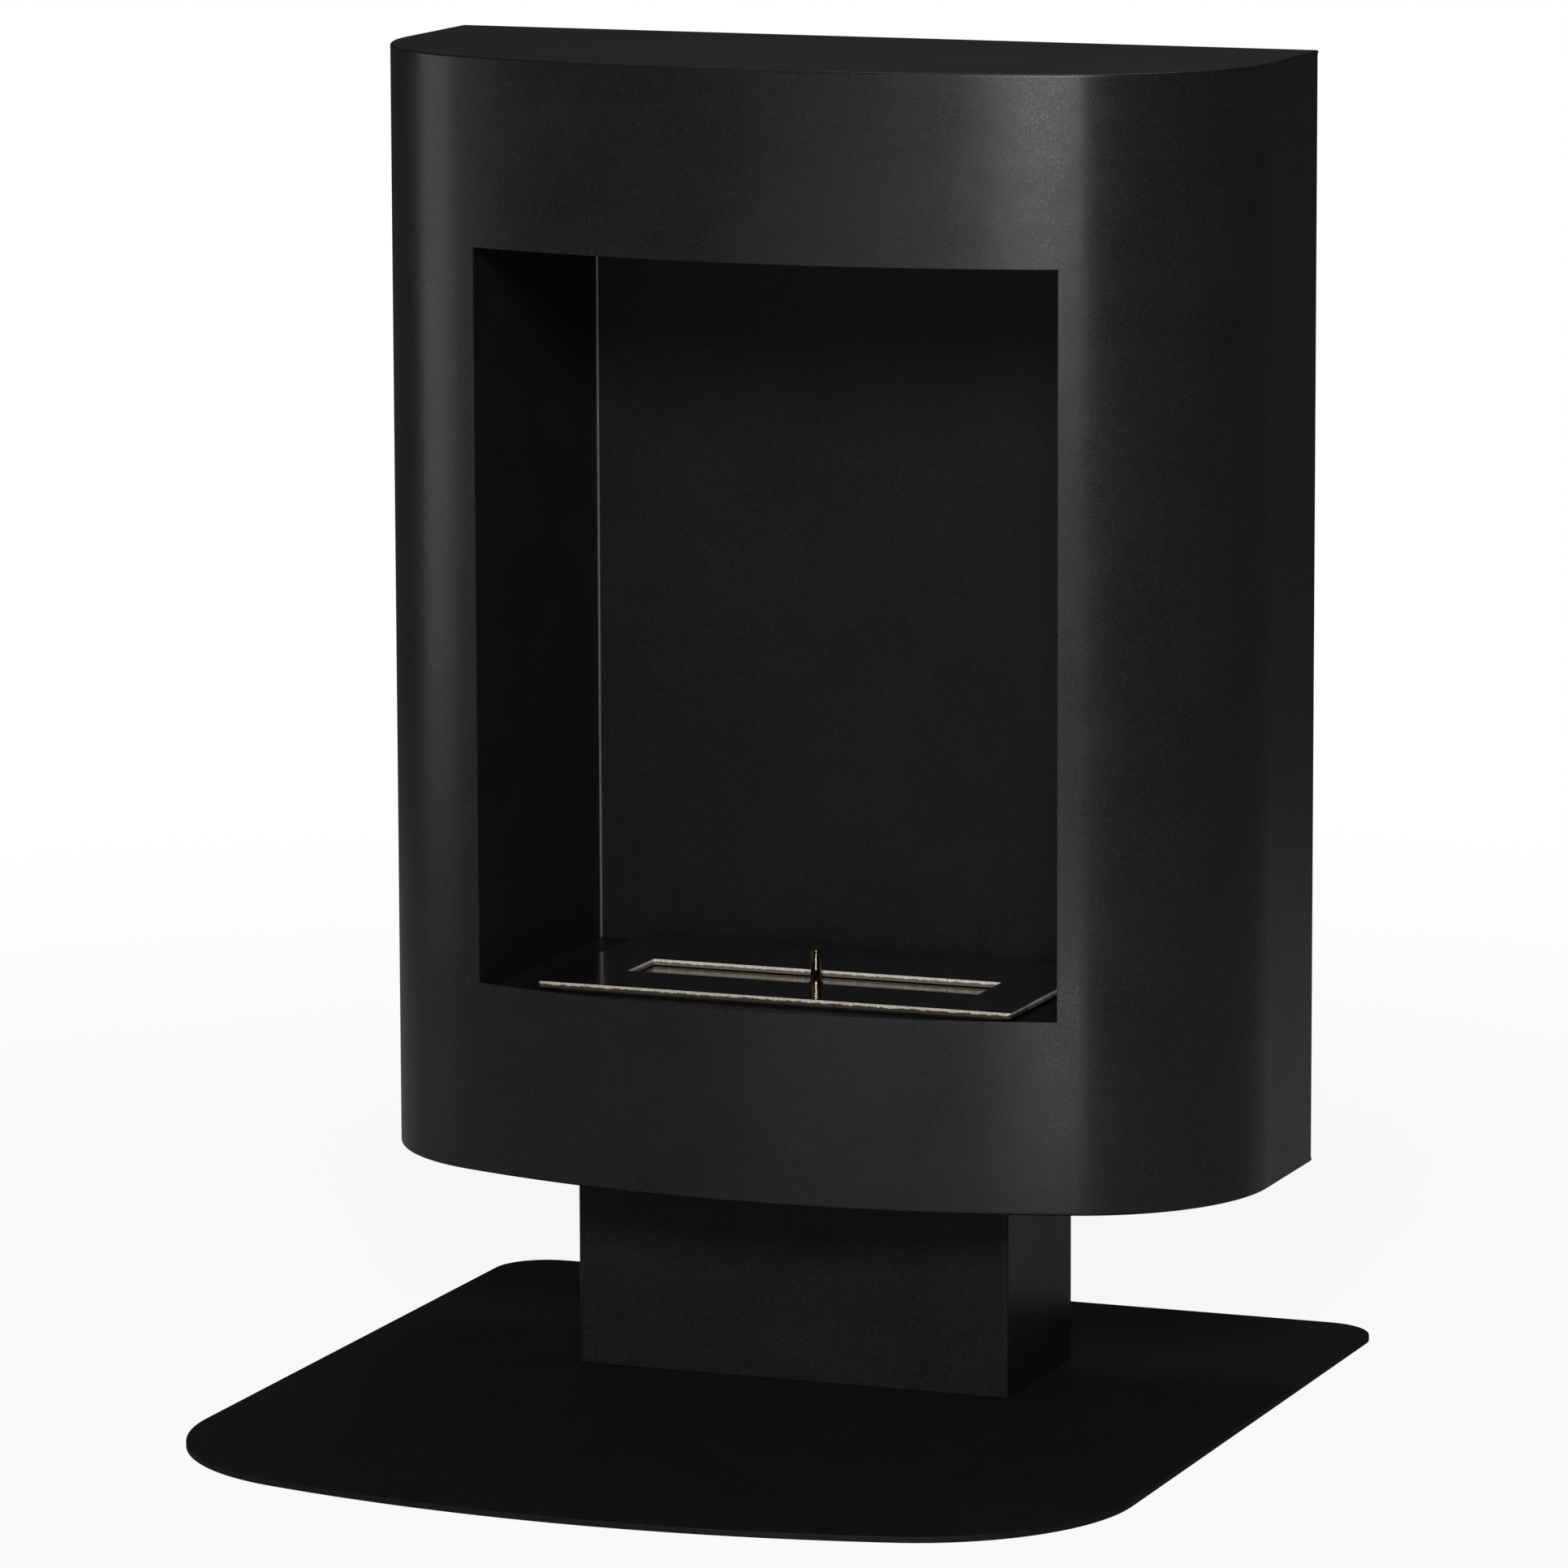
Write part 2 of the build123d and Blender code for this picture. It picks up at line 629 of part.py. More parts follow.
def slider_pin_nut():
    """Nut that holds the pin from below."""
    blank = hexagon(PIN_NUT_FLATS, SLIDER_BOTTOM - PIN_NUT_T, SLIDER_BOTTOM, 0, PIN_Y)
    return blank - rod(STUD_R + FIT / 2, SLIDER_BOTTOM - PAST, SLIDER_BOTTOM + PAST, 0, PIN_Y)


PIECES = [
    base_plate,
    pedestal,
    base_screws,
    base_nuts,
    body_bolts,
    body_nuts,
    outer_shell,
    top_panel,
    bottom_panel,
    back_panel,
    back_screws,
    firebox_liner,
    firebox_floor,
    firebox_ceiling,
    floor_support_left,
    floor_support_right,
    burner_top_plate,
    burner_tray,
    burner_gasket,
    wool_pad,
    wool_retainer,
    slider_rail_left,
    slider_rail_right,
    slider_plate,
    slider_pin,
    slider_pin_nut,
]


def as_one(made):
    """The piece's solids in one compound, whether it is one solid or a group."""
    pieces = made if isinstance(made, list) else [made]
    return Compound(children=[solid for piece in pieces for solid in piece.solids()])


def main():
    """Build every piece and write it under its own name."""
    os.makedirs("parts", exist_ok=True)
    for piece in PIECES:
        export_step(as_one(piece()), f"parts/{piece.__name__}.step")


main()
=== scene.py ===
"""A free-standing bioethanol fireplace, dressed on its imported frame.

Every length is in metres. +X is right, +Y is back, +Z is up, and the floor is at z = 0.
"""

import logging
import math
from abc import ABC, abstractmethod
from collections.abc import Callable, Mapping, Sequence
from dataclasses import dataclass, field
from enum import Enum
from typing import ClassVar

import bmesh
import bpy
from mathutils import Matrix, Vector, noise


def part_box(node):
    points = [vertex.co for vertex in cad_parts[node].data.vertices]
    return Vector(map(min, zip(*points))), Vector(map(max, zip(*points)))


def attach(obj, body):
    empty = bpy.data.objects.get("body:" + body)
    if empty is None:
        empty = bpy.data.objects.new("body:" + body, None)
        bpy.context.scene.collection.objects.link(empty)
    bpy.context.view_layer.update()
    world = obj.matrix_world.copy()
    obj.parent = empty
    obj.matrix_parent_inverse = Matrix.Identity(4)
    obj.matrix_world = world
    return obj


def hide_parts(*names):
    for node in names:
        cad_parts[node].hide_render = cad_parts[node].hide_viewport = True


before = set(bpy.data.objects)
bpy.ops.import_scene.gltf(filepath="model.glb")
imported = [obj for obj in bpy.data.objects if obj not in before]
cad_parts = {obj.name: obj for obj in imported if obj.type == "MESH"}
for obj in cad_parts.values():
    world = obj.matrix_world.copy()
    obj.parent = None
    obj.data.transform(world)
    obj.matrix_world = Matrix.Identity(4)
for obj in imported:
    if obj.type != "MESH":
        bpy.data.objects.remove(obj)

log = logging.getLogger("fireplace")

MM = 0.001
WHITE = (1.0, 1.0, 1.0, 1.0)
SHARP = math.radians(38)  # faces at a wider angle meet in a sharp edge
BEVELLED = math.radians(50)  # edges of a wider angle are bevelled
FLAT = math.radians(0.4)  # faces within this angle are taken as one
UPRIGHT = 0.7  # a normal's rise below which its face is a side
DOUBLES = 1e-7  # points of a solid nearer than this become one
WELD = 1e-6  # the same in a grown sheet or a CAD copy, and for lengths taken as equal
LEAST_R = 0.05 * MM  # a rectangle moved in keeps at least this corner radius
LEAST_REAR_R = 0.01 * MM  # the same for a D plan's rear corners
THREAD_DEPTH = 0.55  # of the pitch

Point2 = tuple[float, float]
Point3 = tuple[float, float, float]
Outline = Callable[[float], list[Point2]]
Piece = bpy.types.Object
Material = bpy.types.Material


class Body(Enum):
    """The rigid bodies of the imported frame."""

    STAND = "stand"
    BURNER = "burner"
    SLIDER = "slider"


class Slot(Enum):
    """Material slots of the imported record."""

    BLACK_COAT = "black_coat"
    BLACK_SCREW = "black_screw"
    ZINC = "zinc_steel"
    POLISHED = "polished_steel"
    MILL = "mill_steel"
    PIN = "pin_steel"
    SEAL = "fibre_seal"
    WOOL = "ceramic_wool"


# ------------------------------------------------------------------------------------ nodes


class Wire:
    """A node's output, on which Python's operators add Math nodes."""

    def __init__(self, graph: "Graph", socket: bpy.types.NodeSocket) -> None:
        """Keep the output and the graph it belongs to."""
        self.graph = graph
        self.socket = socket

    def _math(self, operation: str, *terms: "Wire | float") -> "Wire":
        """Add a Math node of the given operation."""
        return self.graph.node("ShaderNodeMath", {"operation": operation}, dict(enumerate(terms)))

    def __add__(self, other: "Wire | float") -> "Wire":
        """Sum."""
        return self._math("ADD", self, other)

    def __radd__(self, other: float) -> "Wire":
        """Sum, number first."""
        return self._math("ADD", other, self)

    def __sub__(self, other: "Wire | float") -> "Wire":
        """Difference."""
        return self._math("SUBTRACT", self, other)

    def __rsub__(self, other: float) -> "Wire":
        """Difference, number first."""
        return self._math("SUBTRACT", other, self)

    def __mul__(self, other: "Wire | float") -> "Wire":
        """Product."""
        return self._math("MULTIPLY", self, other)

    def __rmul__(self, other: float) -> "Wire":
        """Product, number first."""
        return self._math("MULTIPLY", other, self)

    def __truediv__(self, other: "Wire | float") -> "Wire":
        """Quotient."""
        return self._math("DIVIDE", self, other)

    def __pow__(self, other: float) -> "Wire":
        """Power."""
        return self._math("POWER", self, other)

    def sin(self) -> "Wire":
        """Sine, of radians."""
        return self._math("SINE", self)

    def cos(self) -> "Wire":
        """Cosine, of radians."""
        return self._math("COSINE", self)

    def arcsin(self) -> "Wire":
        """Angle in radians of a sine."""
        return self._math("ARCSINE", self)

    def sign(self) -> "Wire":
        """The value's sign, as -1, 0 or 1."""
        return self._math("SIGN", self)

    def larger(self, other: "Wire | float") -> "Wire":
        """The larger of two values."""
        return self._math("MAXIMUM", self, other)

    def smaller(self, other: "Wire | float") -> "Wire":
        """The smaller of two values."""
        return self._math("MINIMUM", self, other)

    def above(self, limit: float) -> "Wire":
        """1 where the value is over the limit, else 0."""
        return self._math("GREATER_THAN", self, limit)

    def swing(self, amount: float) -> "Wire":
        """How far a value from 0 to 1 is from its middle, times an amount."""
        return (self - 0.5) * amount

    def between(self, low: float, high: float) -> "Wire":
        """The value stretched so that low is 0 and high is 1, and held there."""
        return self.graph.node(
            "ShaderNodeMapRange",
            {"interpolation_type": "SMOOTHSTEP"},
            {"Value": self, "From Min": low, "From Max": high},
        )


class Graph:
    """A node tree, to which one method adds every node."""

    def __init__(self, tree: bpy.types.NodeTree) -> None:
        """Keep the tree."""
        self.tree = tree

    def node(
        self,
        kind: str,
        settings: Mapping[str, object] | None = None,
        values: Mapping[str | int, object] | None = None,
        output: str | int = 0,
    ) -> Wire:
        """Add a node, set it, then fill or link its inputs.

        Args:
            kind: the node's type.
            settings: the node's own properties.
            values: input by name or by place among the shown ones: a number, colour or Wire.
            output: name, or place among the shown ones, of the output to hand back.

        Returns:
            The chosen output.
        """
        made = self.tree.nodes.new(kind)
        for key, value in (settings or {}).items():
            setattr(made, key, value)
        for key, value in (values or {}).items():
            socket = self._pick(made.inputs, key)
            if isinstance(value, (list, tuple)) and value and isinstance(value[0], Wire):
                for item in value:
                    self.tree.links.new(item.socket, socket)
            elif isinstance(value, Wire):
                self.tree.links.new(value.socket, socket)
            else:
                socket.default_value = value
        return Wire(self, self._pick(made.outputs, output))

    @staticmethod
    def _pick(sockets: Sequence[bpy.types.NodeSocket], key: str | int) -> bpy.types.NodeSocket:
        """The shown socket of a name or place."""
        shown = [s for s in sockets if s.enabled]
        return shown[key] if isinstance(key, int) else next(s for s in shown if s.name == key)

    def twin(self, wire: Wire, output: str) -> Wire:
        """Another output of the node that a Wire comes from."""
        return Wire(self, self._pick(wire.socket.node.outputs, output))


class Shader(Graph):
    """A material's nodes round one Principled shader."""

    def __init__(self, name: str) -> None:
        """Start a material with its surface shader and its Object coordinates."""
        self.material = bpy.data.materials.new(name)
        self.material.use_nodes = True
        super().__init__(self.material.node_tree)
        self.surface = self.tree.nodes["Principled BSDF"]
        self.place = self.node("ShaderNodeTexCoord", output="Object")

    def noise(
        self, scale: float, detail: float, rough: float = 0.5, at: Wire | None = None
    ) -> Wire:
        """Noise of so many grains to the metre, from 0 to 1."""
        return self.node(
            "ShaderNodeTexNoise",
            {"noise_dimensions": "3D"},
            {"Vector": at or self.place, "Scale": scale, "Detail": detail, "Roughness": rough},
            "Fac",
        )

    def streaks(
        self,
        scale: Point3,
        detail: float = 3.0,
        rough: float = 0.6,
        turn: Point3 = (0.0, 0.0, 0.0),
    ) -> Wire:
        """Noise of so many grains to the metre along each axis, turned first."""
        at = self.node(
            "ShaderNodeMapping",
            {"vector_type": "POINT"},
            {"Vector": self.place, "Rotation": turn, "Scale": scale},
        )
        return self.noise(1.0, detail, rough, at)

    def cells(self, scale: float) -> Wire:
        """Cells of so many to the metre, each of its own colour."""
        return self.node(
            "ShaderNodeTexVoronoi", {}, {"Vector": self.place, "Scale": scale}, "Color"
        )

    def mix(self, factor: Wire, first: Point3, second: Point3) -> Wire:
        """A colour between two colours."""
        values = {"Factor": factor, "A": (*first, 1.0), "B": (*second, 1.0)}
        return self.node("ShaderNodeMix", {"data_type": "RGBA"}, values)

    def set(self, name: str, value: "Wire | float | Sequence[float]") -> None:
        """Fill or link one of the surface's sockets."""
        socket = self.surface.inputs[name]
        if isinstance(value, Wire):
            self.tree.links.new(value.socket, socket)
        else:
            socket.default_value = value

    def bump(self, *layers: tuple[Wire, float, float]) -> None:
        """Lay bumps on each other, each a height from 0 to 1, its depth in metres and strength."""
        normal = None
        for height, depth, strength in layers:
            values = {"Height": height, "Distance": depth, "Strength": strength}
            if normal is not None:
                values["Normal"] = normal
            normal = self.node("ShaderNodeBump", {}, values)
        self.set("Normal", normal)


# --------------------------------------------------------------------------------- finishes


@dataclass(frozen=True)
class Finish(ABC):
    """A finish, kept under its material's name.

    A pattern's scale is in grains to the metre, along each axis where it has three.
    """

    name: str

    def material(self) -> Material:
        """The finish as a material."""
        s = Shader(self.name)
        self.lay(s)
        return s.material

    @abstractmethod
    def lay(self, s: Shader) -> None:
        """Fill the surface's sockets."""


@dataclass(frozen=True)
class PowderCoat(Finish):
    """Matt black fine-textured powder coat.

    Swells and cells are measured in grains. The pairs cloudy and grainy are each pattern's
    part in the tone and in the roughness.
    """

    colour: Point3
    fleck: Point3
    roughness: float = 0.295
    specular: float = 0.36
    grain: float = 0.95 * MM
    depth: float = 0.03 * MM
    swells: float = 30.0
    swell_depth: float = 0.4 * MM
    cells: float = 0.8
    clouds: float = 16.0
    ground: float = 0.12
    sparkle: float = 0.45
    cloudy: Point2 = (0.12, 0.14)
    grainy: Point2 = (0.6, 0.3)

    def lay(self, s: Shader) -> None:
        """Fill the surface's sockets."""
        grain = s.noise(1 / self.grain, 3.0, 0.6)
        swell = s.noise(1 / (self.swells * self.grain), 1.0)
        cloud = s.noise(self.clouds, 4.0, 0.6)
        speck = s.cells(1 / (self.cells * self.grain))
        spark = s.node("ShaderNodeSeparateColor", {}, {"Color": speck}, "Red").between(0.7, 1.0)
        tone = self.ground + cloud.between(0.3, 0.75) * self.cloudy[0]
        tone = tone + spark * self.sparkle + grain.swing(self.grainy[0])
        s.set("Base Color", s.mix(tone, self.colour, self.fleck))
        rough = self.roughness + cloud.swing(self.cloudy[1]) + grain.swing(self.grainy[1])
        s.set("Roughness", rough)
        s.set("Specular IOR Level", self.specular)
        s.bump((swell, self.swell_depth, 0.35), (grain, self.depth, 0.8))


@dataclass(frozen=True)
class PolishedSteel(Finish):
    """Mirror-polished stainless steel with faint polishing lines and wipe marks."""

    colour: Point3 = (0.52, 0.505, 0.485)
    roughness: float = 0.13
    lines: Point3 = (18.0, 2600.0, 400.0)
    wipes: Point3 = (16.0, 42.0, 30.0)
    scratches: Point3 = (9.0, 900.0, 60.0)
    wipe_turn: float = 0.5
    scratch_turn: float = 0.22
    haze: float = 26.0
    dimmed: float = 0.86

    def lay(self, s: Shader) -> None:
        """Fill the surface's sockets."""
        lines = s.streaks(self.lines)
        wipes = s.streaks(self.wipes, turn=(0.0, 0.0, self.wipe_turn))
        haze = s.noise(self.haze, 4.0, 0.62).between(0.5, 0.78)
        scratch = s.streaks(self.scratches, 1.0, 0.4, (0.0, 0.0, self.scratch_turn))
        fine = scratch.between(0.66, 0.7)
        dimmed = tuple(self.dimmed * c for c in self.colour)
        s.set("Base Color", s.mix(haze * 0.35, self.colour, dimmed))
        s.set("Metallic", 1.0)
        rough = self.roughness + haze * 0.05 + wipes.swing(0.05) + lines.swing(0.04)
        s.set("Roughness", rough + fine * 0.08)
        s.bump((lines, 0.004 * MM, 0.25), (fine, 0.01 * MM, 0.2))


@dataclass(frozen=True)
class CutEdge(Finish):
    """Laser-cut edge of thick stainless plate: bright, with upright drag lines and dross.

    Between the depths in slot_front and in slot_rear lie the flame slot's own edges, which are
    less metallic and keep a paler least tone: painted light, so that they read brighter than
    the outer rim.
    """

    colour: Point3 = (0.95, 0.9, 0.8)
    dark: Point3 = (0.1, 0.075, 0.05)
    drags: Point3 = (1500.0, 1500.0, 120.0)
    tears: Point3 = (260.0, 260.0, 90.0)
    burrs: float = 420.0
    low: float = 0.2612
    thick: float = 4.0 * MM
    slot_front: Point2 = (0.05, 0.06)
    slot_rear: Point2 = (0.13, 0.14)
    slot_painted_light: float = 0.1

    def lay(self, s: Shader) -> None:
        """Fill the surface's sockets."""
        drag = s.streaks(self.drags, 2.0)
        burr = s.noise(self.burrs, 3.0, 0.65)
        ragged = s.streaks(self.tears, 4.0, 0.7)
        height = s.node("ShaderNodeSeparateXYZ", {}, {"Vector": s.place}, "Z")
        back = s.twin(height, "Y")
        inner = back.between(*self.slot_front) * (1 - back.between(*self.slot_rear))
        # pale on the edge's upper part, darker towards its lower face along a ragged line
        upper_band = ((height - self.low) / self.thick + ragged.swing(0.8)).between(0.46, 0.62)
        pits = 1 - burr.between(0.6, 0.72) * 0.5
        shade = upper_band * pits * (0.72 + drag.between(0.36, 0.64) * 0.28)
        # the slot's edges keep a paler least tone and are less metallic: painted light
        s.set("Base Color", s.mix(shade.larger(inner * self.slot_painted_light), self.dark, self.colour))
        s.set("Metallic", 0.85 - inner * 0.4)
        s.set("Roughness", 0.74 + ragged.swing(0.2) - upper_band * 0.06)
        s.bump((drag, 0.12 * MM, 0.6), (burr, 0.16 * MM, 0.5))


@dataclass(frozen=True)
class MillSteel(Finish):
    """Plain stainless sheet with its fine rolling grain along one axis."""

    colour: Point3 = (0.5, 0.5, 0.49)
    roughness: float = 0.3
    grain: Point3 = (30.0, 2200.0, 2200.0)
    clouds: float = 24.0
    dimmed: float = 0.82

    def lay(self, s: Shader) -> None:
        """Fill the surface's sockets."""
        roll = s.streaks(self.grain)
        cloud = s.noise(self.clouds, 3.0)
        s.set("Base Color", s.mix(cloud, self.colour, tuple(self.dimmed * c for c in self.colour)))
        s.set("Metallic", 1.0)
        s.set("Roughness", self.roughness + roll.swing(0.16) + cloud.swing(0.1))
        s.bump((roll, 0.01 * MM, 0.4))


@dataclass(frozen=True)
class ZincPlate(Finish):
    """Bright zinc plating on a fastener, a little uneven."""

    colour: Point3 = (0.66, 0.66, 0.63)
    tarnish: Point3 = (0.5, 0.47, 0.38)
    stains: float = 260.0
    pits: float = 2600.0

    def lay(self, s: Shader) -> None:
        """Fill the surface's sockets."""
        stain = s.noise(self.stains, 3.0, 0.6).between(0.4, 0.72)
        pits = s.noise(self.pits, 2.0)
        s.set("Base Color", s.mix(stain * 0.7, self.colour, self.tarnish))
        s.set("Metallic", 1.0)
        s.set("Roughness", 0.26 + stain * 0.14 + pits.swing(0.1))
        s.bump((pits, 0.01 * MM, 0.3))


@dataclass(frozen=True)
class BlackOxide(Finish):
    """Blackened screw, its wear showing as lighter metal."""

    colour: Point3 = (0.018, 0.018, 0.019)
    bare: Point3 = (0.16, 0.155, 0.15)
    rubs: float = 700.0
    pits: float = 2400.0

    def lay(self, s: Shader) -> None:
        """Fill the surface's sockets."""
        rub = s.noise(self.rubs, 3.0, 0.65).between(0.6, 0.8)
        skin = s.noise(self.pits, 2.0)
        s.set("Base Color", s.mix(rub * 0.6, self.colour, self.bare))
        s.set("Metallic", 0.3 + rub * 0.6)
        s.set("Roughness", 0.4 + skin.swing(0.14) - rub * 0.1)
        s.set("Specular IOR Level", 0.4)
        s.bump((skin, 0.01 * MM, 0.3))


@dataclass(frozen=True)
class TurnedPin(Finish):
    """Turned and polished steel pin, warm from a painted reflection, darker towards its foot."""

    # warm colours: a painted reflection of warm light
    colour: Point3 = (0.36, 0.27, 0.19)
    tint: Point3 = (0.27, 0.16, 0.075)
    turnings: Point3 = (60.0, 60.0, 4200.0)
    clouds: float = 240.0
    foot: float = 0.2607
    tip: float = 0.2827

    def lay(self, s: Shader) -> None:
        """Fill the surface's sockets."""
        turning = s.streaks(self.turnings, 2.0)
        height = s.node("ShaderNodeSeparateXYZ", {}, {"Vector": s.place}, "Z")
        # darker and more orange towards the foot
        toward_foot = 1 - height.between(self.foot, self.tip)
        cloud = s.noise(self.clouds, 2.0)
        s.set("Base Color", s.mix((toward_foot * 0.6 + cloud * 0.4).smaller(1.0), self.colour, self.tint))
        s.set("Metallic", 1.0)
        s.set("Roughness", 0.075 + turning.swing(0.05))
        s.bump((turning, 0.01 * MM, 0.4))


@dataclass(frozen=True)
class CeramicFibre(Finish):
    """White ceramic wool: two lays of matted fibres with soft hollows."""

    colour: Point3 = (0.84, 0.82, 0.77)
    shade: Point3 = (0.6, 0.57, 0.5)
    lays: tuple[Point3, Point3] = ((260.0, 2600.0, 900.0), (2600.0, 280.0, 900.0))
    turns: tuple[Point3, Point3] = ((0.0, 0.0, 0.5), (0.0, 0.3, 0.2))
    tufts: float = 150.0

    def lay(self, s: Shader) -> None:
        """Fill the surface's sockets."""
        one, two = (s.streaks(at, 3.0, 0.65, turn) for at, turn in zip(self.lays, self.turns))
        tuft = s.noise(self.tufts, 4.0, 0.6)
        fibre = (one * 0.5 + two * 0.5).between(0.35, 0.68)
        s.set("Base Color", s.mix((fibre * 0.5 + tuft * 0.5).smaller(1.0), self.shade, self.colour))
        s.set("Roughness", 0.92 + tuft.swing(0.1))
        s.set("Sheen Weight", 0.3)
        s.bump((tuft, 1.2 * MM, 0.7), (fibre, 0.3 * MM, 0.8))


@dataclass(frozen=True)
class FibreSeal(Finish):
    """Dark pressed graphite fibre."""

    colour: Point3 = (0.035, 0.035, 0.036)
    fleck: Point3 = (0.11, 0.11, 0.105)
    fibres: Point3 = (900.0, 2400.0, 2400.0)
    clouds: float = 180.0

    def lay(self, s: Shader) -> None:
        """Fill the surface's sockets."""
        fibre = s.streaks(self.fibres, 3.0, 0.65, (0.0, 0.0, 0.7))
        cloud = s.noise(self.clouds, 3.0)
        s.set("Base Color", s.mix(fibre.between(0.42, 0.75), self.colour, self.fleck))
        s.set("Roughness", 0.8 + cloud.swing(0.15))
        s.bump((fibre, 0.08 * MM, 0.6))


class Finishes:
    """Every material of the object, made once."""

    def __init__(self) -> None:
        """Make the materials."""
        self.casing = PowderCoat(
            "casing_powder_coat", (0.0066, 0.0067, 0.0069), (0.0235, 0.0238, 0.0242)
        ).material()
        self.firebox = PowderCoat(
            "firebox_powder_coat", (0.006, 0.0061, 0.0064), (0.0195, 0.0198, 0.0209),
            roughness=0.45, specular=0.15,
        ).material()
        # paler, glossier coat on the liner's rear bends: a painted highlight
        self.bend = PowderCoat(
            "painted_highlight_bend_coat", (0.055, 0.055, 0.057), (0.12, 0.12, 0.124),
            roughness=0.36, specular=0.5,
        ).material()
        self.pedestal = PowderCoat(
            "pedestal_powder_coat", (0.0078, 0.0079, 0.0082), (0.0265, 0.0268, 0.0274),
            specular=0.12,
        ).material()
        self.base = PowderCoat(
            "base_powder_coat", (0.005, 0.005, 0.0052), (0.018, 0.018, 0.0185),
            roughness=0.62, specular=0.12, grain=1.1 * MM, depth=0.05 * MM,
        ).material()
        self.polished = PolishedSteel("polished_stainless").material()
        self.slider = PolishedSteel("slider_stainless", (0.19, 0.16, 0.115), 0.17).material()
        self.cut_edge = CutEdge("laser_cut_edge").material()
        self.mill = MillSteel("mill_stainless").material()
        self.zinc = ZincPlate("zinc_plate").material()
        self.oxide = BlackOxide("black_oxide").material()
        self.pin = TurnedPin("turned_pin").material()
        self.wool = CeramicFibre("ceramic_fibre").material()
        self.seal = FibreSeal("graphite_seal").material()


# ----------------------------------------------------------------------------------- shapes


def quarter(steps: int) -> list[float]:
    """The angles in radians of a quarter turn cut into steps."""
    return [math.pi / 2 * i / steps for i in range(steps + 1)]


def arc(centre: Point2, radius: float, start: float, end: float, steps: int) -> list[Point2]:
    """Points on an arc.

    Args:
        centre: the arc's centre.
        radius: its radius.
        start: the first point's angle in degrees, from -Y towards +X.
        end: the last point's angle.
        steps: how many chords the arc has.

    Returns:
        The points, both ends included.
    """
    turns = [math.radians(start + (end - start) * i / steps) for i in range(steps + 1)]
    return [(centre[0] + radius * math.sin(a), centre[1] - radius * math.cos(a)) for a in turns]


def rounded(length: float, width: float, radius: float, y: float) -> Outline:
    """A rectangle with rounded corners, centred on (0, y), as an outline to be moved in."""

    def outline(by: float) -> list[Point2]:
        """The rectangle moved in by a distance, anticlockwise."""
        r = max(radius - by, LEAST_R)
        x, w = (length - 2 * by) / 2 - r, (width - 2 * by) / 2 - r
        corners = [((x, y - w), 0), ((x, y + w), 90), ((-x, y + w), 180), ((-x, y - w), 270)]
        return [p for c, a in corners for p in arc(c, r, a, a + 90, 8)]

    return outline


@dataclass(frozen=True)
class DPlan:
    """Flat back, straight sides and corner arcs that run tangent into a wide front arc."""

    width: float
    front: float
    rear: float
    corner_r: float
    front_r: float
    rear_r: float

    @property
    def corner(self) -> Point2:
        """Centre of the right corner arc."""
        x = self.width / 2 - self.corner_r
        reach = self.front_r - self.corner_r
        return x, self.front + self.front_r - math.sqrt(reach**2 - x**2)

    @property
    def meet(self) -> float:
        """Angle in degrees at which the front arc runs into the corner arc."""
        return math.degrees(math.asin(self.corner[0] / (self.front_r - self.corner_r)))

    def inset(self, by: float) -> "DPlan":
        """The same plan moved in all round."""
        return DPlan(
            self.width - 2 * by,
            self.front + by,
            self.rear - by,
            self.corner_r - by,
            self.front_r - by,
            max(self.rear_r - by, LEAST_REAR_R),
        )

    def outline(self, by: float) -> list[Point2]:
        """The outline moved in by a distance, anticlockwise seen from above."""
        plan = self.inset(by)
        half = plan.width / 2
        centre = (0.0, plan.front + plan.front_r)
        rear_corner = (half - plan.rear_r, plan.rear - plan.rear_r)
        right = arc(centre, plan.front_r, 0, plan.meet, 24)[1:]
        right += arc(plan.corner, plan.corner_r, plan.meet, 90, 40)[1:]
        right += arc(rear_corner, plan.rear_r, 90, 180, 16)
        left = [(-px, py) for px, py in reversed(right)]
        return [(0.0, plan.front), *right, *left]


